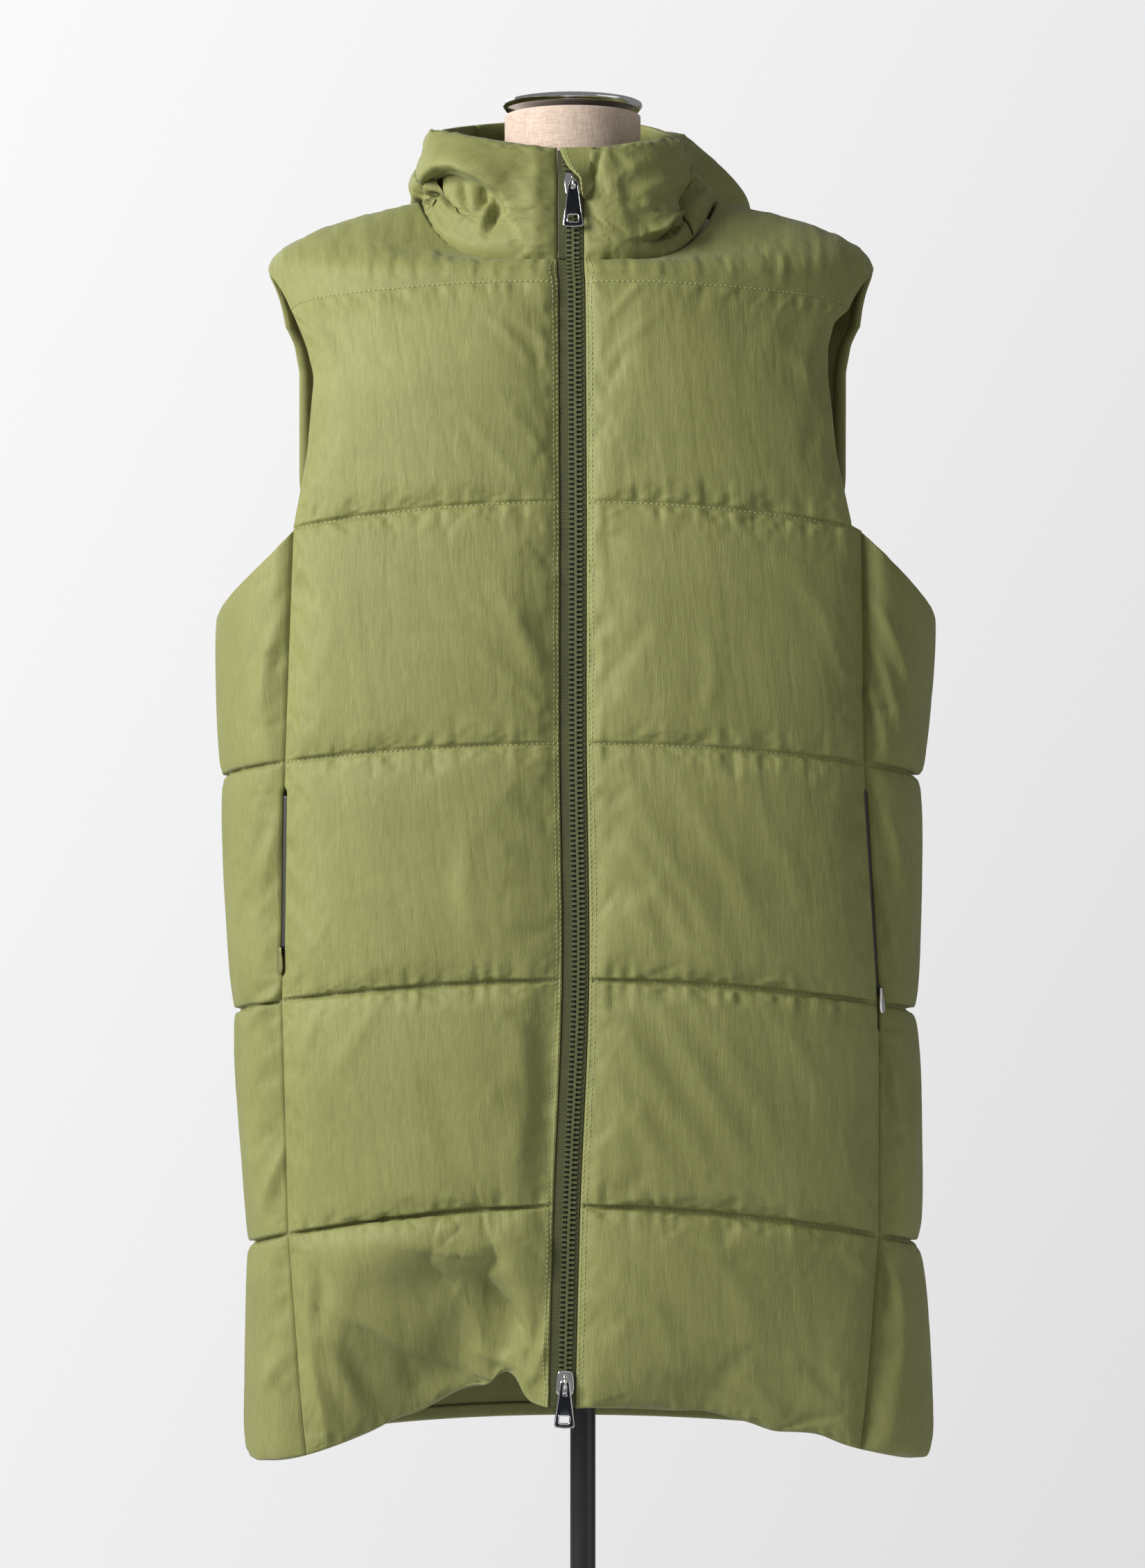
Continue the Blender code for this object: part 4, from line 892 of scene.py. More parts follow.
def fold_shift(x, z, folds):
    """How far out each point of a panel moves for folds drawn as seen from the front.

    A fold marked "step" stands out above its line and sinks below it, like a roll over a hollow.
    A "valley" is a sharp crease with another width on its far side.
    """
    total = np.zeros_like(x)
    for points, width, depth, *kind in folds:
        points = np.array(points)
        steps = np.linalg.norm(np.diff(points, axis=0), axis=-1)
        reached = np.concatenate(([0.0], np.cumsum(steps))) / steps.sum()
        best = np.full(x.shape, 1e9)
        share, signed = np.zeros_like(x), np.zeros_like(x)
        for i in range(len(points) - 1):
            run = points[i + 1] - points[i]
            to_x, to_z = x - points[i, 0], z - points[i, 1]
            t = np.clip((to_x * run[0] + to_z * run[1]) / steps[i] ** 2, 0.0, 1.0)
            away = np.hypot(to_x - t * run[0], to_z - t * run[1])
            nearer = away < best
            best = np.where(nearer, away, best)
            share = np.where(nearer, reached[i] + t * (reached[i + 1] - reached[i]), share)
            signed = np.where(nearer, np.copysign(away, to_x * run[1] - to_z * run[0]), signed)
        taper = np.sin(math.pi * np.clip(share, 0.04, 0.96)) ** 0.6
        if kind and kind[0] == "step":
            step = np.tanh(-signed / (kind[1] if len(kind) > 1 else STEP_SHARP))
            total = total + depth * taper * step * np.exp(-((best / width) ** 2))
            continue
        if kind:
            reach = np.where(signed > 0, width, kind[1])
            total = total + depth * taper * np.exp(-best / reach)
            continue
        beyond = np.exp(-((best / width) ** 2))
        beside = np.exp(-(((signed - 1.7 * width) / (1.2 * width)) ** 2)) * (best < 4 * width)
        total = total + depth * taper * (beyond - 0.35 * beside)
    return total


def hidden_folds(count, seed, low, high, wide):
    """Folds like the visible ones for a panel that faces away, drawn on its own width and height."""
    draw = np.random.RandomState(seed)
    folds = []
    for _ in range(count):
        x, z = draw.uniform(*wide), draw.uniform(low, high)
        lean, drop = draw.uniform(-0.05, 0.05), draw.uniform(0.06, 0.13)
        folds.append((((x, z), (x + 0.6 * lean, z - drop / 2), (x + lean, z - drop)),
                      draw.uniform(0.005, 0.010), draw.uniform(0.0010, 0.0024)))
    return folds


FOLDS["back"] = hidden_folds(34, 5, 0.52, 1.32, (-0.21, 0.20))
FOLDS["hood_centre"] = hidden_folds(12, 8, 1.30, 1.46, (-0.12, 0.12))


# ---------------------------------------------------------------- finishing the panels
FINE_CREASE = 0.0003         # heights of the creases too fine for the simulation
LINE_PUCKER = 0.0011
SEAM_PUCKER = 0.0008
GROOVE_WIDTH = 0.0014


def finish_panel(name, finish, seed):
    """Makes a panel from its simulated grid, with creases too fine for the simulation."""
    panel = panels[name]
    hood = name.startswith("hood")
    outer = finer(panel["job"]["made"])
    level = finer(panel["level"][..., None])[..., 0]
    across = finer(panel["across"][..., None])[..., 0]
    if name.startswith("front"):
        outer, level, across = (halved(outer, 1), halved(level[..., None], 1)[..., 0],
                                halved(across[..., None], 1)[..., 0])
        panel["inner"] = halved(panel["inner"], 1)
    if level.max() > YOKE and not hood:
        share = np.clip((level - YOKE + 0.45) / 0.35, 0.0, 1.0)
        ends = np.minimum(across, across[:, -1:] - across)
        outer = softened(outer, share * np.clip(ends / 0.035, 0.0, 1.0), 40)
    normal = grid_normals(outer)
    height = distances(outer, 0)
    sideways = outer[..., 0] if name in ("front_left", "front_right", "back") else None
    crease_x = across if sideways is None else sideways
    if hood:
        inner = panel["inner"]
        follow = 0.85 * fold_shift(inner[..., 0], inner[..., 2], FOLDS[name])
        inner_edge = np.minimum(panel["level"], HOOD_TOP - panel["level"])
        follow = follow * np.clip(inner_edge, 0.0, 1.0)
        panel["inner"] = inner + grid_normals(inner) * follow[..., None]
        from_line = np.minimum(level, HOOD_TOP - level) * 0.03
    else:
        share = np.abs(level - np.round(level))
        yoke = np.minimum(level - YOKE, NECKLINE - level) * 0.006
        from_line = np.where(level > YOKE, yoke, share * BAFFLE_HEIGHT)
    edge = np.minimum(across, across[:, -1:] - across)
    from_seam = np.minimum(from_line, edge)
    upright = creases(crease_x / 0.013 + 0.6 * height / 0.05, height / 0.085, seed)
    pucker = lattice_noise(crease_x / 0.0060 + 0.3 * lattice_noise(across / 0.05, height / 0.05, seed + 7),
                           height / 0.045, seed + 9)
    side_pucker = lattice_noise(height / 0.009, across / 0.05, seed + 11)
    move = FINE_CREASE * upright + LINE_PUCKER * pucker * np.exp(-(from_line / 0.016) ** 2)
    move = move + SEAM_PUCKER * side_pucker * np.exp(-(edge / 0.014) ** 2)
    move = move + fold_shift(outer[..., 0], outer[..., 2], FOLDS[name])
    move = move * np.clip(from_seam / 0.004, 0.0, 1.0)
    if not hood:
        groove = np.exp(-((level - np.round(level)) * BAFFLE_HEIGHT / GROOVE_WIDTH) ** 2)
        groove = groove * (level <= YOKE + 0.1)
        groove = groove * np.interp(level, range(len(GROOVE)), GROOVE)
        move = move - groove * np.clip(edge / 0.003, 0.0, 1.0)
    outer = outer + normal * move[..., None]
    panel["outer"] = outer
    panel["normal"] = grid_normals(outer)
    made = wall_object(name + "_cloth", outer, panel["inner"], finish, seed, OLIVE_INSIDE_SHADED, sideways)
    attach(made, ROOT)
    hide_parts(name)
    panel["object"] = made
    return made


def add_panels():
    add_front("front_left", -1)
    add_front("front_right", 1)
    add_side("side_left", -1)
    add_side("side_right", 1)
    add_back("back")
    add_hood_pieces()
    run_cloth(0.008)
    for seed, name in enumerate(panels):
        finish_panel(name, OLIVE, 100 + 20 * seed)


# ---------------------------------------------------------------- small solid shapes
def placed(verts, matrix):
    return [tuple(matrix @ Vector(v)) for v in verts]


def piece(made, body, slot, *nodes):
    """Puts a piece on its body and hides the CAD nodes that it stands for; the slot is not used."""
    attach(made, body)
    if nodes:
        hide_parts(*nodes)
    return made


def turned(name, profile, x, sides, finish):
    """A turned solid: the profile runs down its outer side and starts and ends on the axis."""
    verts = []
    for radius, z in profile:
        for i in range(sides):
            turn = 2 * math.pi * i / sides
            verts.append((x + radius * math.cos(turn), radius * math.sin(turn), z))
    faces = []
    for r in range(len(profile) - 1):
        for i in range(sides):
            j = (i + 1) % sides
            faces.append((r * sides + i, (r + 1) * sides + i, (r + 1) * sides + j, r * sides + j))
    made = mesh_object(name, verts, faces, finish)
    bm = bmesh.new()
    bm.from_mesh(made.data)
    bmesh.ops.remove_doubles(bm, verts=bm.verts, dist=1e-6)
    bmesh.ops.recalc_face_normals(bm, faces=bm.faces)
    for edge in bm.edges:
        edge.smooth = edge.calc_face_angle(0.0) < math.radians(35)
    bm.to_mesh(made.data)
    bm.free()
    return made


def plate(name, outline, low, high, bevel, finish, matrix, holes=()):
    """A flat plate with rounded edges: outlines in its own X and Y, thickness along its Z."""
    curve = bpy.data.curves.new(name, "CURVE")
    curve.dimensions = "2D"
    curve.fill_mode = "BOTH"
    curve.extrude = (high - low) / 2 - bevel
    curve.bevel_depth = bevel
    curve.bevel_resolution = 2
    curve.offset = -bevel
    for loop in (outline, *holes):
        line = curve.splines.new("POLY")
        line.points.add(len(loop) - 1)
        line.use_cyclic_u = True
        for point, (x, y) in zip(line.points, loop):
            point.co = (x, y, 0, 1)
    shape = bpy.data.objects.new(name, curve)
    bpy.context.scene.collection.objects.link(shape)
    depsgraph = bpy.context.evaluated_depsgraph_get()
    mesh = bpy.data.meshes.new_from_object(shape.evaluated_get(depsgraph))
    bpy.data.objects.remove(shape, do_unlink=True)
    mesh.transform(matrix @ Matrix.Translation((0, 0, (low + high) / 2)))
    bm = bmesh.new()
    bm.from_mesh(mesh)
    bmesh.ops.remove_doubles(bm, verts=bm.verts, dist=1e-6)
    bmesh.ops.recalc_face_normals(bm, faces=bm.faces)
    for face in bm.faces:
        face.smooth = True
    for edge in bm.edges:
        edge.smooth = edge.calc_face_angle(0.0) < math.radians(40)
    bm.to_mesh(mesh)
    bm.free()
    mesh.materials.clear()
    mesh.materials.append(finish)
    made = bpy.data.objects.new(name, mesh)
    bpy.context.scene.collection.objects.link(made)
    return made


def tube(name, points, radius, finish, closed=False, sides=8):
    """A round wire through points."""
    curve = bpy.data.curves.new(name, "CURVE")
    curve.dimensions = "3D"
    curve.bevel_depth = radius
    curve.bevel_resolution = max(1, sides // 4)
    curve.use_fill_caps = True
    line = curve.splines.new("POLY")
    line.points.add(len(points) - 1)
    line.use_cyclic_u = closed
    for point, place in zip(line.points, points):
        point.co = (*place, 1)
    shape = bpy.data.objects.new(name, curve)
    bpy.context.scene.collection.objects.link(shape)
    depsgraph = bpy.context.evaluated_depsgraph_get()
    mesh = bpy.data.meshes.new_from_object(shape.evaluated_get(depsgraph))
    bpy.data.objects.remove(shape, do_unlink=True)
    for polygon in mesh.polygons:
        polygon.use_smooth = True
    mesh.materials.clear()
    mesh.materials.append(finish)
    made = bpy.data.objects.new(name, mesh)
    bpy.context.scene.collection.objects.link(made)
    return made


def joined(name, parts):
    """One object from several that share a finish."""
    bm = bmesh.new()
    for part in parts:
        bm.from_mesh(part.data)
    mesh = bpy.data.meshes.new(name)
    bm.to_mesh(mesh)
    bm.free()
    mesh.materials.append(parts[0].data.materials[0])
    for part in parts:
        bpy.data.objects.remove(part, do_unlink=True)
    made = bpy.data.objects.new(name, mesh)
    bpy.context.scene.collection.objects.link(made)
    return made


CORNER_STEPS = 4


def rounded_box(half_x, y_low, y_high, corner):
    """An outline with round corners."""
    outline = []
    corners = ((half_x, y_high, 0), (-half_x, y_high, 90), (-half_x, y_low, 180), (half_x, y_low, 270))
    for x, y, start in corners:
        centre_x = x - math.copysign(corner, x)
        centre_y = y - corner if y == y_high else y + corner
        for i in range(CORNER_STEPS + 1):
            turn = math.radians(start + 90 * i / CORNER_STEPS)
            outline.append((centre_x + corner * math.cos(turn), centre_y + corner * math.sin(turn)))
    return outline


# ---------------------------------------------------------------- stitches
STITCH_PITCH = 0.0042
STITCH_LENGTH = 0.0028
STITCH_THICK = 0.00042


def resampled(points, pitch):
    step = np.linalg.norm(np.diff(points, axis=0), axis=-1)
    length = np.concatenate(([0.0], np.cumsum(step)))
    at = np.arange(pitch / 2, length[-1], pitch)
    return at, length


def stitch_rows(name, lines):
    """Short raised threads along lines, each a pair of points and outward normals."""
    verts, faces = [], []
    ring = np.array([(math.cos(t), math.sin(t)) for t in np.radians((45, 135, 225, 315))])
    for points, normals in lines:
        at, length = resampled(points, STITCH_PITCH)
        for middle in at:
            ends = []
            for shift, size, lift in ((-0.5, 0.55, -0.0002), (0.0, 1.0, 0.00025), (0.5, 0.55, -0.0002)):
                where = middle + shift * STITCH_LENGTH
                centre = [np.interp(where, length, points[:, k]) for k in range(3)]
                out = np.array([np.interp(where, length, normals[:, k]) for k in range(3)])
                ends.append((np.array(centre), out, size, lift))
            along = ends[2][0] - ends[0][0]
            along /= max(np.linalg.norm(along), 1e-9)
            start = len(verts)
            for centre, out, size, lift in ends:
                across = np.cross(out, along)
                for x, y in ring * STITCH_THICK * size:
                    verts.append(tuple(centre + across * x + out * (y + lift)))
            for r in (0, 4):
                for i in range(4):
                    j = (i + 1) % 4
                    faces.append((start + r + i, start + r + j, start + r + 4 + j, start + r + 4 + i))
            faces.append((start + 3, start + 2, start + 1, start))
            faces.append((start + 8, start + 9, start + 10, start + 11))
    return piece(mesh_object(name, verts, faces, THREAD), ROOT, "olive_nylon")


def panel_row(panel, level):
    """The shown grid's row on a quilt line."""
    levels = finer(panel["level"][..., None])[:, 0, 0]
    row = int(np.argmin(np.abs(levels - level)))
    return panel["outer"][row], panel["normal"][row]


def lifted(points, normals, out):
    return points + normals * out, normals


def add_stitches():
    for name in ("front_left", "front_right", "side_left", "side_right", "back"):
        panel = panels[name]
        top = YOKE if name in ("front_left", "front_right", "back") else QUILT_1 - 1
        lines = [lifted(*panel_row(panel, level), 0.0005) for level in range(QUILT_4, top + 1)]
        if name.startswith("front"):
            inward = 1 if name.endswith("right") else -2
            step = 1 if name.endswith("right") else -1
            for column in (inward, inward + 2 * step):
                lines.append(lifted(panel["outer"][:, column], panel["normal"][:, column], 0.0002))
        stitch_rows("stitches_" + name, lines)
    lines = []
    for name in ("hood_left", "hood_right"):
        panel = panels[name]
        angle = finer(panel["angle"][..., None])[0, :, 0]
        rim_z = vest_point(angle, np.full_like(angle, NECKLINE))[..., 2] - 0.0002
        row, out = [], []
        for column in range(len(angle)):
            climb = panel["outer"][:12, column, 2]
            row.append([np.interp(rim_z[column], climb, panel["outer"][:12, column, k]) for k in range(3)])
            out.append([np.interp(rim_z[column], climb, panel["normal"][:12, column, k]) for k in range(3)])
        lines.append(lifted(np.array(row), np.array(out), 0.0004))
    panel = panels["hood_right"]
    lines.append(lifted(panel["outer"][2:-2, -1], panel["normal"][2:-2, -1], 0.0006))
    # These dark tubes are partly the seam thread and partly painted shade along the seams.
    seams = [tube("seam", line[0].tolist(), 0.0007, DARK_THREAD_AND_SEAM_SHADE) for line in lines]
    piece(joined("hood_seam_threads_and_painted_shade", seams), ROOT, "olive_nylon")


# ---------------------------------------------------------------- the centre zip
def zip_route():
    """Points up the zip's middle, about 2 mm apart, with the ways along and out."""
    low = vest_point(np.zeros(441), np.linspace(0.0, NECKLINE - 0.05, 441))
    high = hood_point(np.zeros(45), np.linspace(0.1, HOOD_TOP, 45))
    points = np.concatenate((low, high))
    along = np.gradient(points, axis=0)
    along /= np.linalg.norm(along, axis=-1, keepdims=True)
    out = np.cross(np.array((1.0, 0, 0)), along)
    out /= np.linalg.norm(out, axis=-1, keepdims=True)
    return points, along, out


ROUTE, ROUTE_ALONG, ROUTE_OUT = zip_route()
ROUTE_LENGTH = np.concatenate(([0.0], np.cumsum(np.linalg.norm(np.diff(ROUTE, axis=0), axis=-1))))


def route_at(length):
    def at(values):
        return np.array([np.interp(length, ROUTE_LENGTH, values[:, k]) for k in range(3)])
    return at(ROUTE), at(ROUTE_ALONG), at(ROUTE_OUT)


def length_at_height(z):
    return float(np.interp(z, ROUTE[:, 2], ROUTE_LENGTH))


def frame_at_height(z):
    """Local X to the right, Y up the zip and Z outward."""
    point, along, out = (Vector(v) for v in route_at(length_at_height(z)))
    across = along.cross(out).normalized()
    turn = Matrix((across, along, out)).transposed().to_4x4()
    return Matrix.Translation(point) @ turn


def ribbon(name, offsets, half, finish):
    """A thin strip along the zip; offsets are distances sideways at its two edges."""
    columns = np.linspace(offsets[0], offsets[1], 9)
    middle = ROUTE[:, None] + columns[None, :, None] * np.array((1.0, 0, 0))
    outer = middle + half * ROUTE_OUT[:, None]
    inner = middle - half * ROUTE_OUT[:, None]
    rows = (len(outer) - 1) // 2 * 2 + 1
    made = wall_object(name, outer[:rows], inner[:rows:2, ::2], finish)
    # Faces under the chain take the near-black painted shade.
    made.data.materials.append(SHADE)
    row_middles = (columns[:-1] + columns[1:]) / 2
    for i in range((rows - 1) * 8):
        made.data.polygons[i].material_index = int(abs(row_middles[i % 8]) < CHAIN_HALF)
    return made


TOOTH_PITCH = 0.0040
# One tooth seen from the front, pointing right, in millimetres: x across, y along the zip
TOOTH = ((-5.5, -1.15), (-2.6, -1.15), (-1.9, -0.70), (-1.2, -1.10), (0.2, -1.30), (1.1, -0.75),
         (1.3, 0.0))


def tooth_mesh():
    """Vertices and faces of one tooth with a rounded front and back."""
    outline = list(TOOTH) + [(x, -y) for x, y in reversed(TOOTH[:-1])]
    centre = (-2.2, 0.0)
    verts, faces = [], []
    for out, size in ((-1.75, 0.80), (-1.25, 1.0), (1.25, 1.0), (1.75, 0.80)):
        for x, y in outline:
            verts.append(((centre[0] + (x - centre[0]) * (0.5 + size / 2)) / 1000,
                          (y * size) / 1000, out / 1000))
    count = len(outline)
    for ring in range(3):
        for i in range(count):
            j = (i + 1) % count
            faces.append((ring * count + i, ring * count + j, (ring + 1) * count + j,
                          (ring + 1) * count + i))
    faces.append(tuple(range(count - 1, -1, -1)))
    faces.append(tuple(range(3 * count, 4 * count)))
    return np.array(verts), faces


def add_teeth():
    shape, shape_faces = tooth_mesh()
    top = length_at_height(TOP_SLIDER_Z)
    low = length_at_height(BOTTOM_SLIDER_Z) + 0.006
    end = ROUTE_LENGTH[-1] - 0.003
    verts, faces = [], []
    number = 0
    length = low
    while length < end:
        side = 1 if number % 2 else -1
        point, along, out = route_at(length)
        across = np.cross(along, out)
        open_by = 0.0035 * np.clip((length - top) / 0.02, 0.0, 1.0) ** 0.7
        if abs(length - top) > 0.008:
            start = len(verts)
            local = shape * np.array((side * -1.0, 1.0, 1.0)) if side > 0 else shape
            world = (point + local[:, :1] * across + local[:, 1:2] * along + local[:, 2:] * out
                     + across * open_by * side)
            verts += world.tolist()
            order = 1 if side < 0 else -1
            faces += [tuple(start + i for i in face[::order]) for face in shape_faces]
        number += 1
        length += TOOTH_PITCH / 2
    made = mesh_object("zip_chain_teeth", verts, faces, TEETH, smooth=False)
    piece(made, ROOT, "green_teeth", "zip_chain")


SHIELD = ((-5.2, 9.8), (-6.8, 7.6), (-7.2, 4.0), (-6.9, -2.0), (-6.2, -7.4), (-5.0, -9.6), (-2.0, -10.0))


def shield_outline(scale=1.0):
    left = [(x * scale / 1000, y * scale / 1000) for x, y in SHIELD]
    return left + [(-x, y) for x, y in reversed(left)]


def add_slider(label, z, upside_down):
    """Two curved plates on a core, with the arched bridge that holds the pull."""
    matrix = frame_at_height(z)
    if upside_down:
        matrix = matrix @ Matrix.Rotation(math.pi, 4, "Z")
    name = "zip_slider_" + label
    front = plate(name, shield_outline(), 0.0020, 0.0042, 0.0008, CHROME, matrix)
    back = plate(name, shield_outline(0.96), -0.0036, -0.0020, 0.0006, CHROME, matrix)
    core = plate(name, rounded_box(0.0030, 0.0010, 0.0090, 0.0015), -0.0022, 0.0024, 0.0003, CHROME, matrix)
    arch = []
    for i in range(15):
        share = i / 14
        y = -0.0058 + 0.0116 * share
        arch.append(tuple(matrix @ Vector((0, y, 0.0036 + 0.0052 * math.sin(math.pi * share) ** 0.55))))
    bridge = tube(name, arch, 0.00125, CHROME, sides=12)
    lugs = [plate(name, rounded_box(0.0016, y - 0.0014, y + 0.0014, 0.0007), 0.0036, 0.0056, 0.0005,
                  CHROME, matrix) for y in (-0.0058, 0.0058)]
    made = joined(name + "_metal", [front, back, core, bridge, *lugs])
    piece(made, ROOT, "chrome", name)


def pull_outline(half_top, half_low, length, inset=0.0):
    """A tapered tab with rounded corners, hanging from y = 0."""
    top, low = 0.0016 - inset, -length + inset
    return [(-half_top + inset, top - 0.0008), (-half_top + 0.0008 + inset, top),
            (half_top - 0.0008 - inset, top), (half_top - inset, top - 0.0008),
            (half_low - inset, low + 0.0014), (half_low - 0.0010 - inset, low + 0.0003),
            (0.0, low - 0.0004), (-half_low + 0.0010 + inset, low + 0.0003),
            (-half_low + inset, low + 0.0014)]


def add_pull(label, z, length, upper_window):
    """The dark tab with its bright edge, window rim and the ring that runs on the bridge."""
    hinge = frame_at_height(z) @ Matrix.Translation((0, 0, 0.0062))
    body = "zip_pull_%s_tab" % label
    name = "zip_pull_" + label
    window = rounded_box(0.0046, -length + 0.0030, -length + 0.0098, 0.0016)
    eye = rounded_box(0.0019, -0.0056 if not upper_window else -0.0100, -0.0008, 0.0008)
    outline = pull_outline(0.0033, 0.0078, length)
    face = plate(name, pull_outline(0.0033, 0.0078, length, 0.0006), -0.0009, 0.0009, 0.0003, GUNMETAL,
                 hinge, (window[::-1], eye[::-1]))
    face.name = name + "_face"
    piece(face, body, "gunmetal", name)
    edge = tube(name, placed([(x, y, 0.0) for x, y in outline], hinge), 0.00062, CHROME, True)
    ring = tube(name, placed([(x, y, 0.0003) for x, y in window], hinge), 0.00075, CHROME, True)
    eyelet = tube(name, placed([(x, y, 0.0) for x, y in eye], hinge), 0.00050, CHROME, True)
    rim_piece = joined(name + "_rim", [edge, ring, eyelet])
    piece(rim_piece, body, "chrome")


# Height, then the guard's left and right edges from the zip's middle. Up to 1.4205 the left edge
# stands clear of the top pull's swing.
GUARD = np.array((
    (1.4050, 0.0074, 0.0092), (1.4110, 0.0064, 0.0104), (1.4170, 0.0056, 0.0116),
    (1.4205, 0.0050, 0.0124), (1.4245, 0.0006, 0.0130), (1.4300, -0.0040, 0.0140),
    (1.4400, -0.0085, 0.0165), (1.4490, -0.0115, 0.0175),
))


def add_guard():
    """The right placket's corner, folded over the top of the zip."""
    outer, inner = [], []
    for z in np.linspace(GUARD[0, 0], GUARD[-1, 0], 31):
        left, right = (np.interp(z, GUARD[:, 0], GUARD[:, k]) for k in (1, 2))
        point, _, out = route_at(length_at_height(z))
        lower = np.clip((1.452 - z) / 0.030, 0.25, 1.0)
        outer_row, inner_row = [], []
        for share in np.linspace(0, 1, 13):
            lift = 0.0030 + (0.0098 * lower - 0.0030) * (1 - share**1.6)
            roll = 0.0011 * math.sin(math.pi * min(1.0, share * 6) / 2)
            middle = point + np.array((left + (right - left) * share, 0, 0)) + out * lift
            outer_row.append(middle + out * (0.0003 + roll))
            inner_row.append(middle - out * 0.0006)
        outer.append(outer_row)
        inner.append(inner_row)
    outer, inner = np.array(outer), np.array(inner)
    made = wall_object("zip_guard_cloth", outer, inner[::2, ::2], OLIVE)
    piece(made, ROOT, "olive_nylon", "zip_guard")
    stitch_rows("stitches_guard", [lifted(outer[:, 2], grid_normals(outer)[:, 2], 0.0001)])


def add_zip():
    tape_left = ribbon("zip_tape_left_cloth", (-EDGE_LEFT + SEAM_GAP, -0.0006), 0.0005, TAPE)
    tape_right = ribbon("zip_tape_right_cloth", (0.0006, EDGE_RIGHT - SEAM_GAP), 0.0005, TAPE)
    for made, side, width in ((tape_left, "left", EDGE_LEFT), (tape_right, "right", EDGE_RIGHT)):
        piece(made, ROOT, "olive_nylon", "zip_tape_" + side)
    add_teeth()
    add_slider("top", TOP_SLIDER_Z, False)
    add_slider("bottom", BOTTOM_SLIDER_Z, True)
    add_pull("top", TOP_SLIDER_Z, 0.0370, False)
    add_pull("bottom", BOTTOM_SLIDER_Z, 0.0350, True)
    add_guard()


# ---------------------------------------------------------------- pockets and facings
def seam_frame(side, level):
    """Local X across the side seam, Y up it and Z outward."""
    levels = np.array([level - 0.01, level, level + 0.01])
    angles = side * seam_angle(side, levels)
    low, point, high = (Vector(p) for p in vest_point(angles, levels))
    out = Vector(surface_normal(vest_point, angles, levels, NECKLINE)[1])
    along = (high - low).normalized()
    out = (out - along * out.dot(along)).normalized()
    turn = Matrix((along.cross(out), along, out)).transposed().to_4x4()
    return Matrix.Translation(point) @ turn


def add_pocket(side, zip_low, zip_high):
    label = "right" if side > 0 else "left"
    outer, inner = [], []
    for level in np.linspace(zip_low, zip_high, 61):
        matrix = seam_frame(side, float(level))
        offsets = np.linspace(-POCKET_HALF, POCKET_HALF, 5)
        outer.append([tuple(matrix @ Vector((x, 0, 0.0006))) for x in offsets])
        inner.append([tuple(matrix @ Vector((x, 0, -0.0006))) for x in offsets])
    made = wall_object("pocket_zip_%s_chain" % label, np.array(outer), np.array(inner)[::2, ::2], COIL)
    piece(made, ROOT, "green_teeth", "pocket_zip_" + label)
    matrix = seam_frame(side, zip_low + 0.015)
    name = "pocket_slider_" + label
    body = plate(name, rounded_box(0.0018, -0.0042, 0.0042, 0.0010), 0.0007, 0.0024, 0.0004, GUNMETAL, matrix)
    arch = [tuple(matrix @ Vector((0, -0.0026 + 0.0056 * i / 8, 0.0022 + 0.0026 * math.sin(math.pi * i / 8))))
            for i in range(9)]
    made = joined(name + "_metal", [body, tube(name, arch, 0.0005, GUNMETAL)])
    piece(made, ROOT, "gunmetal", name)
    hinge = matrix @ Matrix.Translation((0.0, 0.0018, 0.0045))
    drop = [(-0.0010, 0.0006), (0.0010, 0.0006), (0.0016, -0.0050), (0.0027, -0.0120), (0.0030, -0.0155),
            (0.0024, -0.0190), (0.0012, -0.0203), (-0.0012, -0.0203), (-0.0024, -0.0190),
            (-0.0030, -0.0155), (-0.0027, -0.0120), (-0.0016, -0.0050)]
    finish, slot = (PULL_GOLD, "gunmetal") if side < 0 else (CHROME, "gunmetal")
    name = "pocket_pull_" + label
    made = plate(name + "_drop", drop, -0.0007, 0.0007, 0.0003, finish, hinge)
    piece(made, name + "_tab", slot, name)


def add_band(name, inner):
    """A facing inside the back panel, made from part of that panel's inner points."""
    inward = -grid_normals(inner)
    front = finer(inner + inward * 0.0005)
    back = finer(inner + inward * 0.0015)[::2, ::2]
    made = wall_object(name + "_cloth", front, back, OLIVE_INSIDE_SHADED)
    piece(made, ROOT, "olive_nylon", name)


def add_facings():
    panel = panels["back"]
    grid, level = panel["inner"], panel["level"]
    rows = np.flatnonzero((level[:, 0] > QUILT_1 + 0.02) & (level[:, 0] < SHOULDER - 0.02))
    rows = rows[:len(rows) // 2 * 2 + 1] if len(rows) % 2 else rows[:-1]
    for name, columns in (("armhole_facing_right", slice(0, 3)), ("armhole_facing_left", slice(-3, None))):
        part = grid[rows[0]:rows[-1] + 1, columns]
        add_band(name, part)
    count = (grid.shape[1] - 5) // 2 * 2 + 1
    deep = int(np.sum(level[:, 0] < 0.10)) // 2 * 2 + 1
    part = grid[0:deep, 2:2 + count]
    add_band("hem_facing", part)


# ---------------------------------------------------------------- the form and its stand
CAP_DROP = 0.0075            # how much lower the neck and its rim end than in the CAD model
TORSO_CLEAR = 0.0080         # how far the torso is drawn in, so that its shoulders stay clear of the cloth
SHOULDER_FOOT = 1.22         # from here up the torso is drawn in, fully after the rise
SHOULDER_RISE = 0.08
NECK_ROOM = 0.062            # up to here from the neck's middle the torso stays, then it is drawn in
NECK_RAMP = 0.033


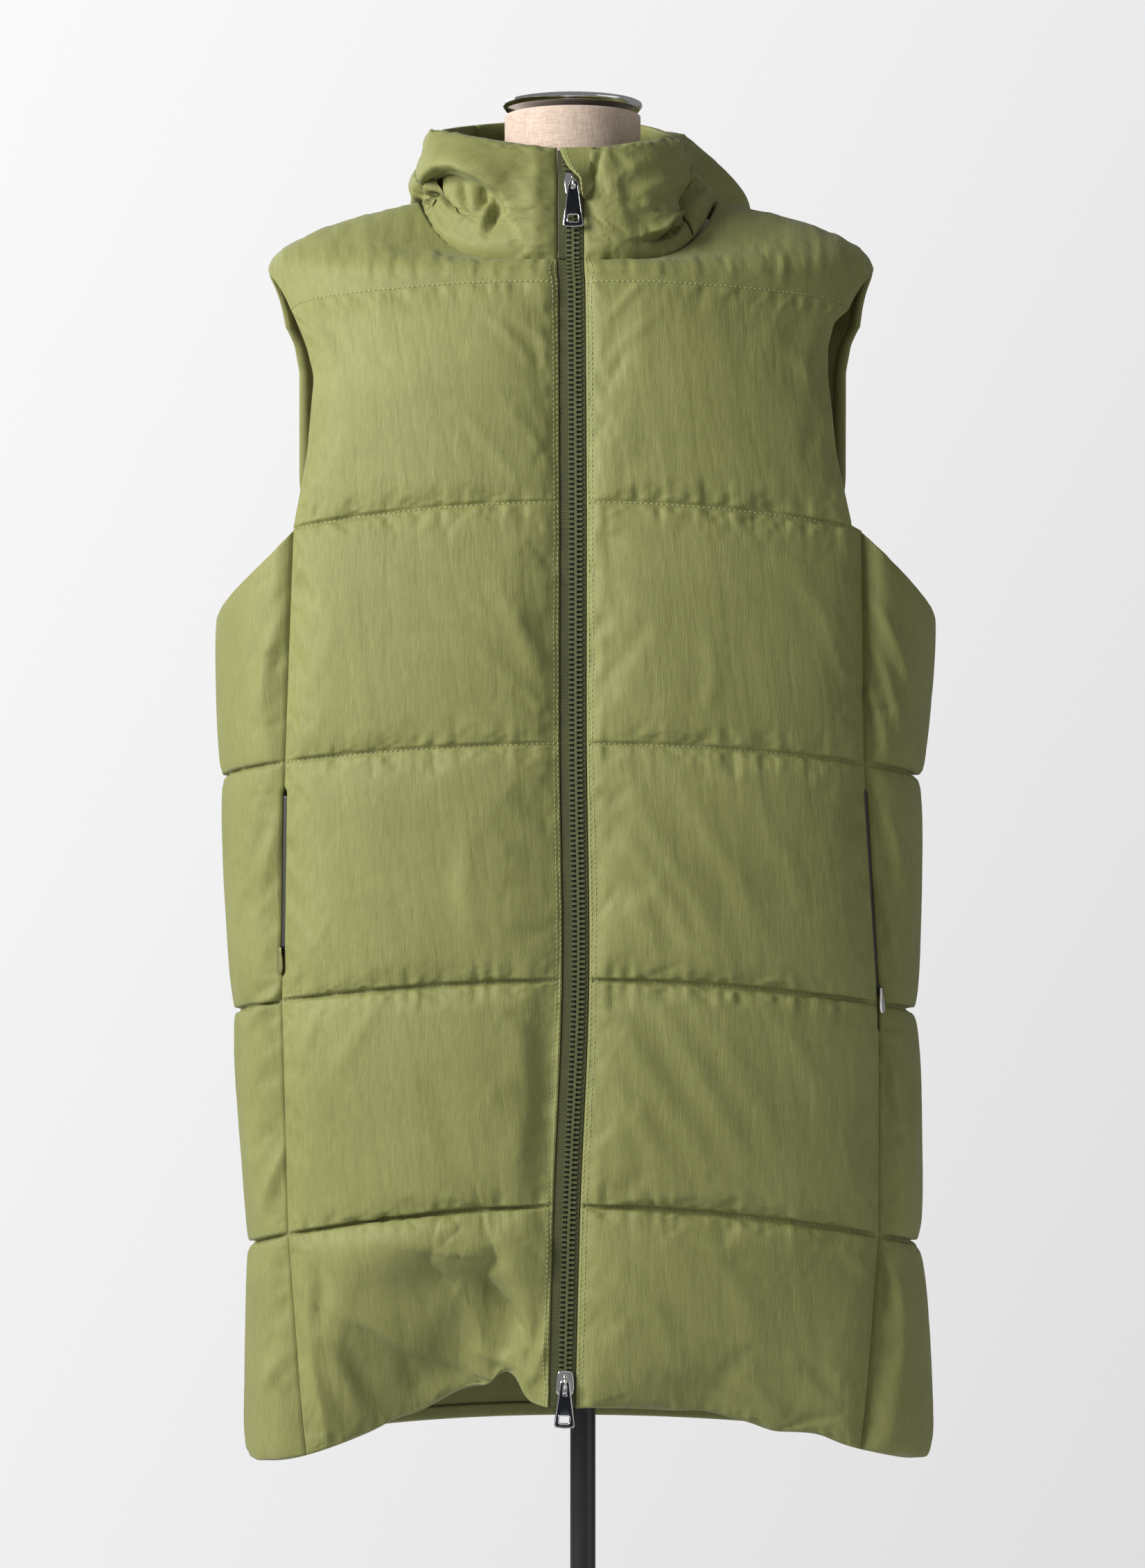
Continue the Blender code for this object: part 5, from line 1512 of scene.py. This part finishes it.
def add_form():
    torso = bpy.data.objects.new("form_torso_linen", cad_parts["form_torso"].data.copy())
    bpy.context.scene.collection.objects.link(torso)
    torso.data.materials.clear()
    torso.data.materials.append(LINEN)
    bm = bmesh.new()
    bm.from_mesh(torso.data)
    bmesh.ops.remove_doubles(bm, verts=bm.verts, dist=1e-5)
    bm.normal_update()
    foot_low, foot_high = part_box("form_neck")
    foot_x, foot_y = (foot_low.x + foot_high.x) / 2, (foot_low.y + foot_high.y) / 2
    inward = []
    for vert in bm.verts:
        from_neck = math.hypot(vert.co.x - foot_x, vert.co.y - foot_y)
        share = np.clip((vert.co.z - SHOULDER_FOOT) / SHOULDER_RISE, 0, 1)
        share = share * np.clip((from_neck - NECK_ROOM) / NECK_RAMP, 0, 1)
        inward.append(vert.normal * (TORSO_CLEAR * float(share)))
    for vert, shift in zip(bm.verts, inward):
        vert.co -= shift
    bm.to_mesh(torso.data)
    bm.free()
    torso.modifiers.new("smooth", "SUBSURF").render_levels = 2
    torso.modifiers["smooth"].levels = 2
    for polygon in torso.data.polygons:
        polygon.use_smooth = True
    piece(torso, ROOT, "linen", "form_torso")
    low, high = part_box("form_neck")
    radius = (high.x - low.x) / 2
    middle = (high.x + low.x) / 2
    top = high.z - CAP_DROP
    profile = [(0.0, top), (radius - 0.0012, top), (radius - 0.0003, top - 0.0004), (radius, top - 0.0014)]
    profile += [(radius, z) for z in np.linspace(top - 0.004, low.z + 0.002, 14)]
    profile += [(radius - 0.001, low.z), (0.0, low.z)]
    piece(turned("form_neck_linen", profile, middle, 160, LINEN), ROOT, "linen", "form_neck")
    low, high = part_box("form_neck_cap")
    radius = (high.x - low.x) / 2
    top = high.z - CAP_DROP
    foot = top - 0.0058
    profile = [(0.0, top - 0.0032), (radius - 0.0060, top - 0.0034), (radius - 0.0040, top - 0.0026),
               (radius - 0.0030, top - 0.0006), (radius - 0.0018, top), (radius - 0.0006, top - 0.0006),
               (radius, top - 0.0022), (radius - 0.0004, top - 0.0035), (radius - 0.0016, foot + 0.0010),
               (radius - 0.0022, foot), (0.0, foot)]
    piece(turned("form_neck_rim", profile, middle, 160, CHROME), ROOT, "chrome", "form_neck_cap")


def add_stand():
    low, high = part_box("stand_base")
    radius, top = high.x, high.z
    profile = [(0.0, top), (0.028, top), (0.030, top - 0.0003), (radius * 0.6, top - 0.0022),
               (radius - 0.014, 0.0100), (radius - 0.005, 0.0088), (radius - 0.0015, 0.0074),
               (radius, 0.0055), (radius, 0.0012), (radius - 0.001, 0.0), (0.0, 0.0)]
    piece(turned("stand_base_disc", profile, 0.0, 128, BLACK), ROOT, "black_paint", "stand_base")
    low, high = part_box("stand_pole")
    tube_radius = 0.0105
    profile = [(0.0, high.z), (tube_radius, high.z), (tube_radius, 0.0375), (tube_radius + 0.0015, 0.0360),
               (0.0150, 0.0345), (0.0185, 0.0330), (0.0205, 0.0310), (0.0210, 0.0290), (0.0210, 0.0170),
               (0.0205, 0.0150), (0.0200, low.z), (0.0, low.z)]
    piece(turned("stand_pole_tube", profile, 0.0, 96, BLACK), ROOT, "black_paint", "stand_pole")


# ---------------------------------------------------------------- camera, light and floor
def add_camera():
    camera = bpy.data.objects.new("camera", bpy.data.cameras.new("camera"))
    bpy.context.scene.collection.objects.link(camera)
    camera.location = (-0.0086, -3.24, 0.935)
    camera.rotation_euler = (math.pi / 2, 0, 0)
    camera.data.sensor_width = 36.0
    camera.data.lens = 89.56
    bpy.context.scene.camera = camera


def area_light(name, place, target, size, power):
    lamp = bpy.data.lights.new(name, "AREA")
    lamp.shape = "RECTANGLE"
    lamp.size, lamp.size_y = size
    lamp.energy = power
    made = bpy.data.objects.new(name, lamp)
    made.location = place
    made.rotation_euler = (Vector(target) - Vector(place)).to_track_quat("-Z", "Y").to_euler()
    bpy.context.scene.collection.objects.link(made)


def add_world():
    """A pale room: what the camera sees behind the vest is brighter than the light it gives."""
    world = bpy.data.worlds.new("pale_room")
    bpy.context.scene.world = world
    world.use_nodes = True
    tree = world.node_tree
    nodes, links = tree.nodes, tree.links
    seen = nodes["Background"]
    ways = nodes.new("ShaderNodeSeparateXYZ")
    links.new(nodes.new("ShaderNodeTexCoord").outputs["Generated"], ways.inputs[0])
    falls = []
    # The backdrop that the camera sees is painted darker to the right and further down: painted shade, as the
    # lamp is on the left.
    for axis, slope, start in (("X", -0.45, 0.845), ("Z", 0.24, 0.0)):
        fall = nodes.new("ShaderNodeMath")
        fall.operation = "MULTIPLY_ADD"
        links.new(ways.outputs[axis], fall.inputs[0])
        fall.inputs[1].default_value = slope
        fall.inputs[2].default_value = start
        falls.append(fall)
    links.new(falls[1].outputs[0], falls[0].inputs[2])
    falls[1].inputs[2].default_value = 0.845
    links.new(falls[0].outputs[0], seen.inputs["Color"])
    lit = nodes.new("ShaderNodeBackground")
    lit.inputs["Color"].default_value = (1.0, 1.0, 1.0, 1)
    lit.inputs["Strength"].default_value = 0.22
    ray = nodes.new("ShaderNodeLightPath")
    mix = nodes.new("ShaderNodeMixShader")
    links.new(ray.outputs["Is Camera Ray"], mix.inputs[0])
    links.new(lit.outputs[0], mix.inputs[1])
    links.new(seen.outputs[0], mix.inputs[2])
    links.new(mix.outputs[0], nodes["World Output"].inputs["Surface"])


def add_floor():
    mesh = bpy.data.meshes.new("floor")
    bm = bmesh.new()
    bmesh.ops.create_circle(bm, cap_ends=True, segments=96, radius=1.3)
    bm.to_mesh(mesh)
    bm.free()
    mesh.materials.append(plain_material("pale_floor", (0.80, 0.80, 0.80), 0.6))
    floor = bpy.data.objects.new("floor", mesh)
    floor.location.z = -0.0005
    bpy.context.scene.collection.objects.link(floor)


def add_studio():
    add_camera()
    add_world()
    area_light("key", (-2.25, -1.40, 1.98), (0.0, 0.0, 1.02), (1.3, 1.3), 118)
    area_light("fill", (2.4, -1.2, 0.6), (0.0, 0.0, 0.6), (2.0, 2.0), 9)
    area_light("front", (0.3, -3.2, 1.5), (0.0, 0.0, 0.9), (1.6, 1.6), 4)
    area_light("rim", (-1.6, 2.2, 2.2), (0.0, 0.0, 1.0), (1.6, 1.6), 20)
    add_floor()
    bpy.context.scene.view_settings.view_transform = "Standard"


add_studio()
add_panels()
add_stitches()
add_zip()
for pocket in POCKET_ZIPS:
    add_pocket(*pocket)
add_facings()
add_form()
add_stand()
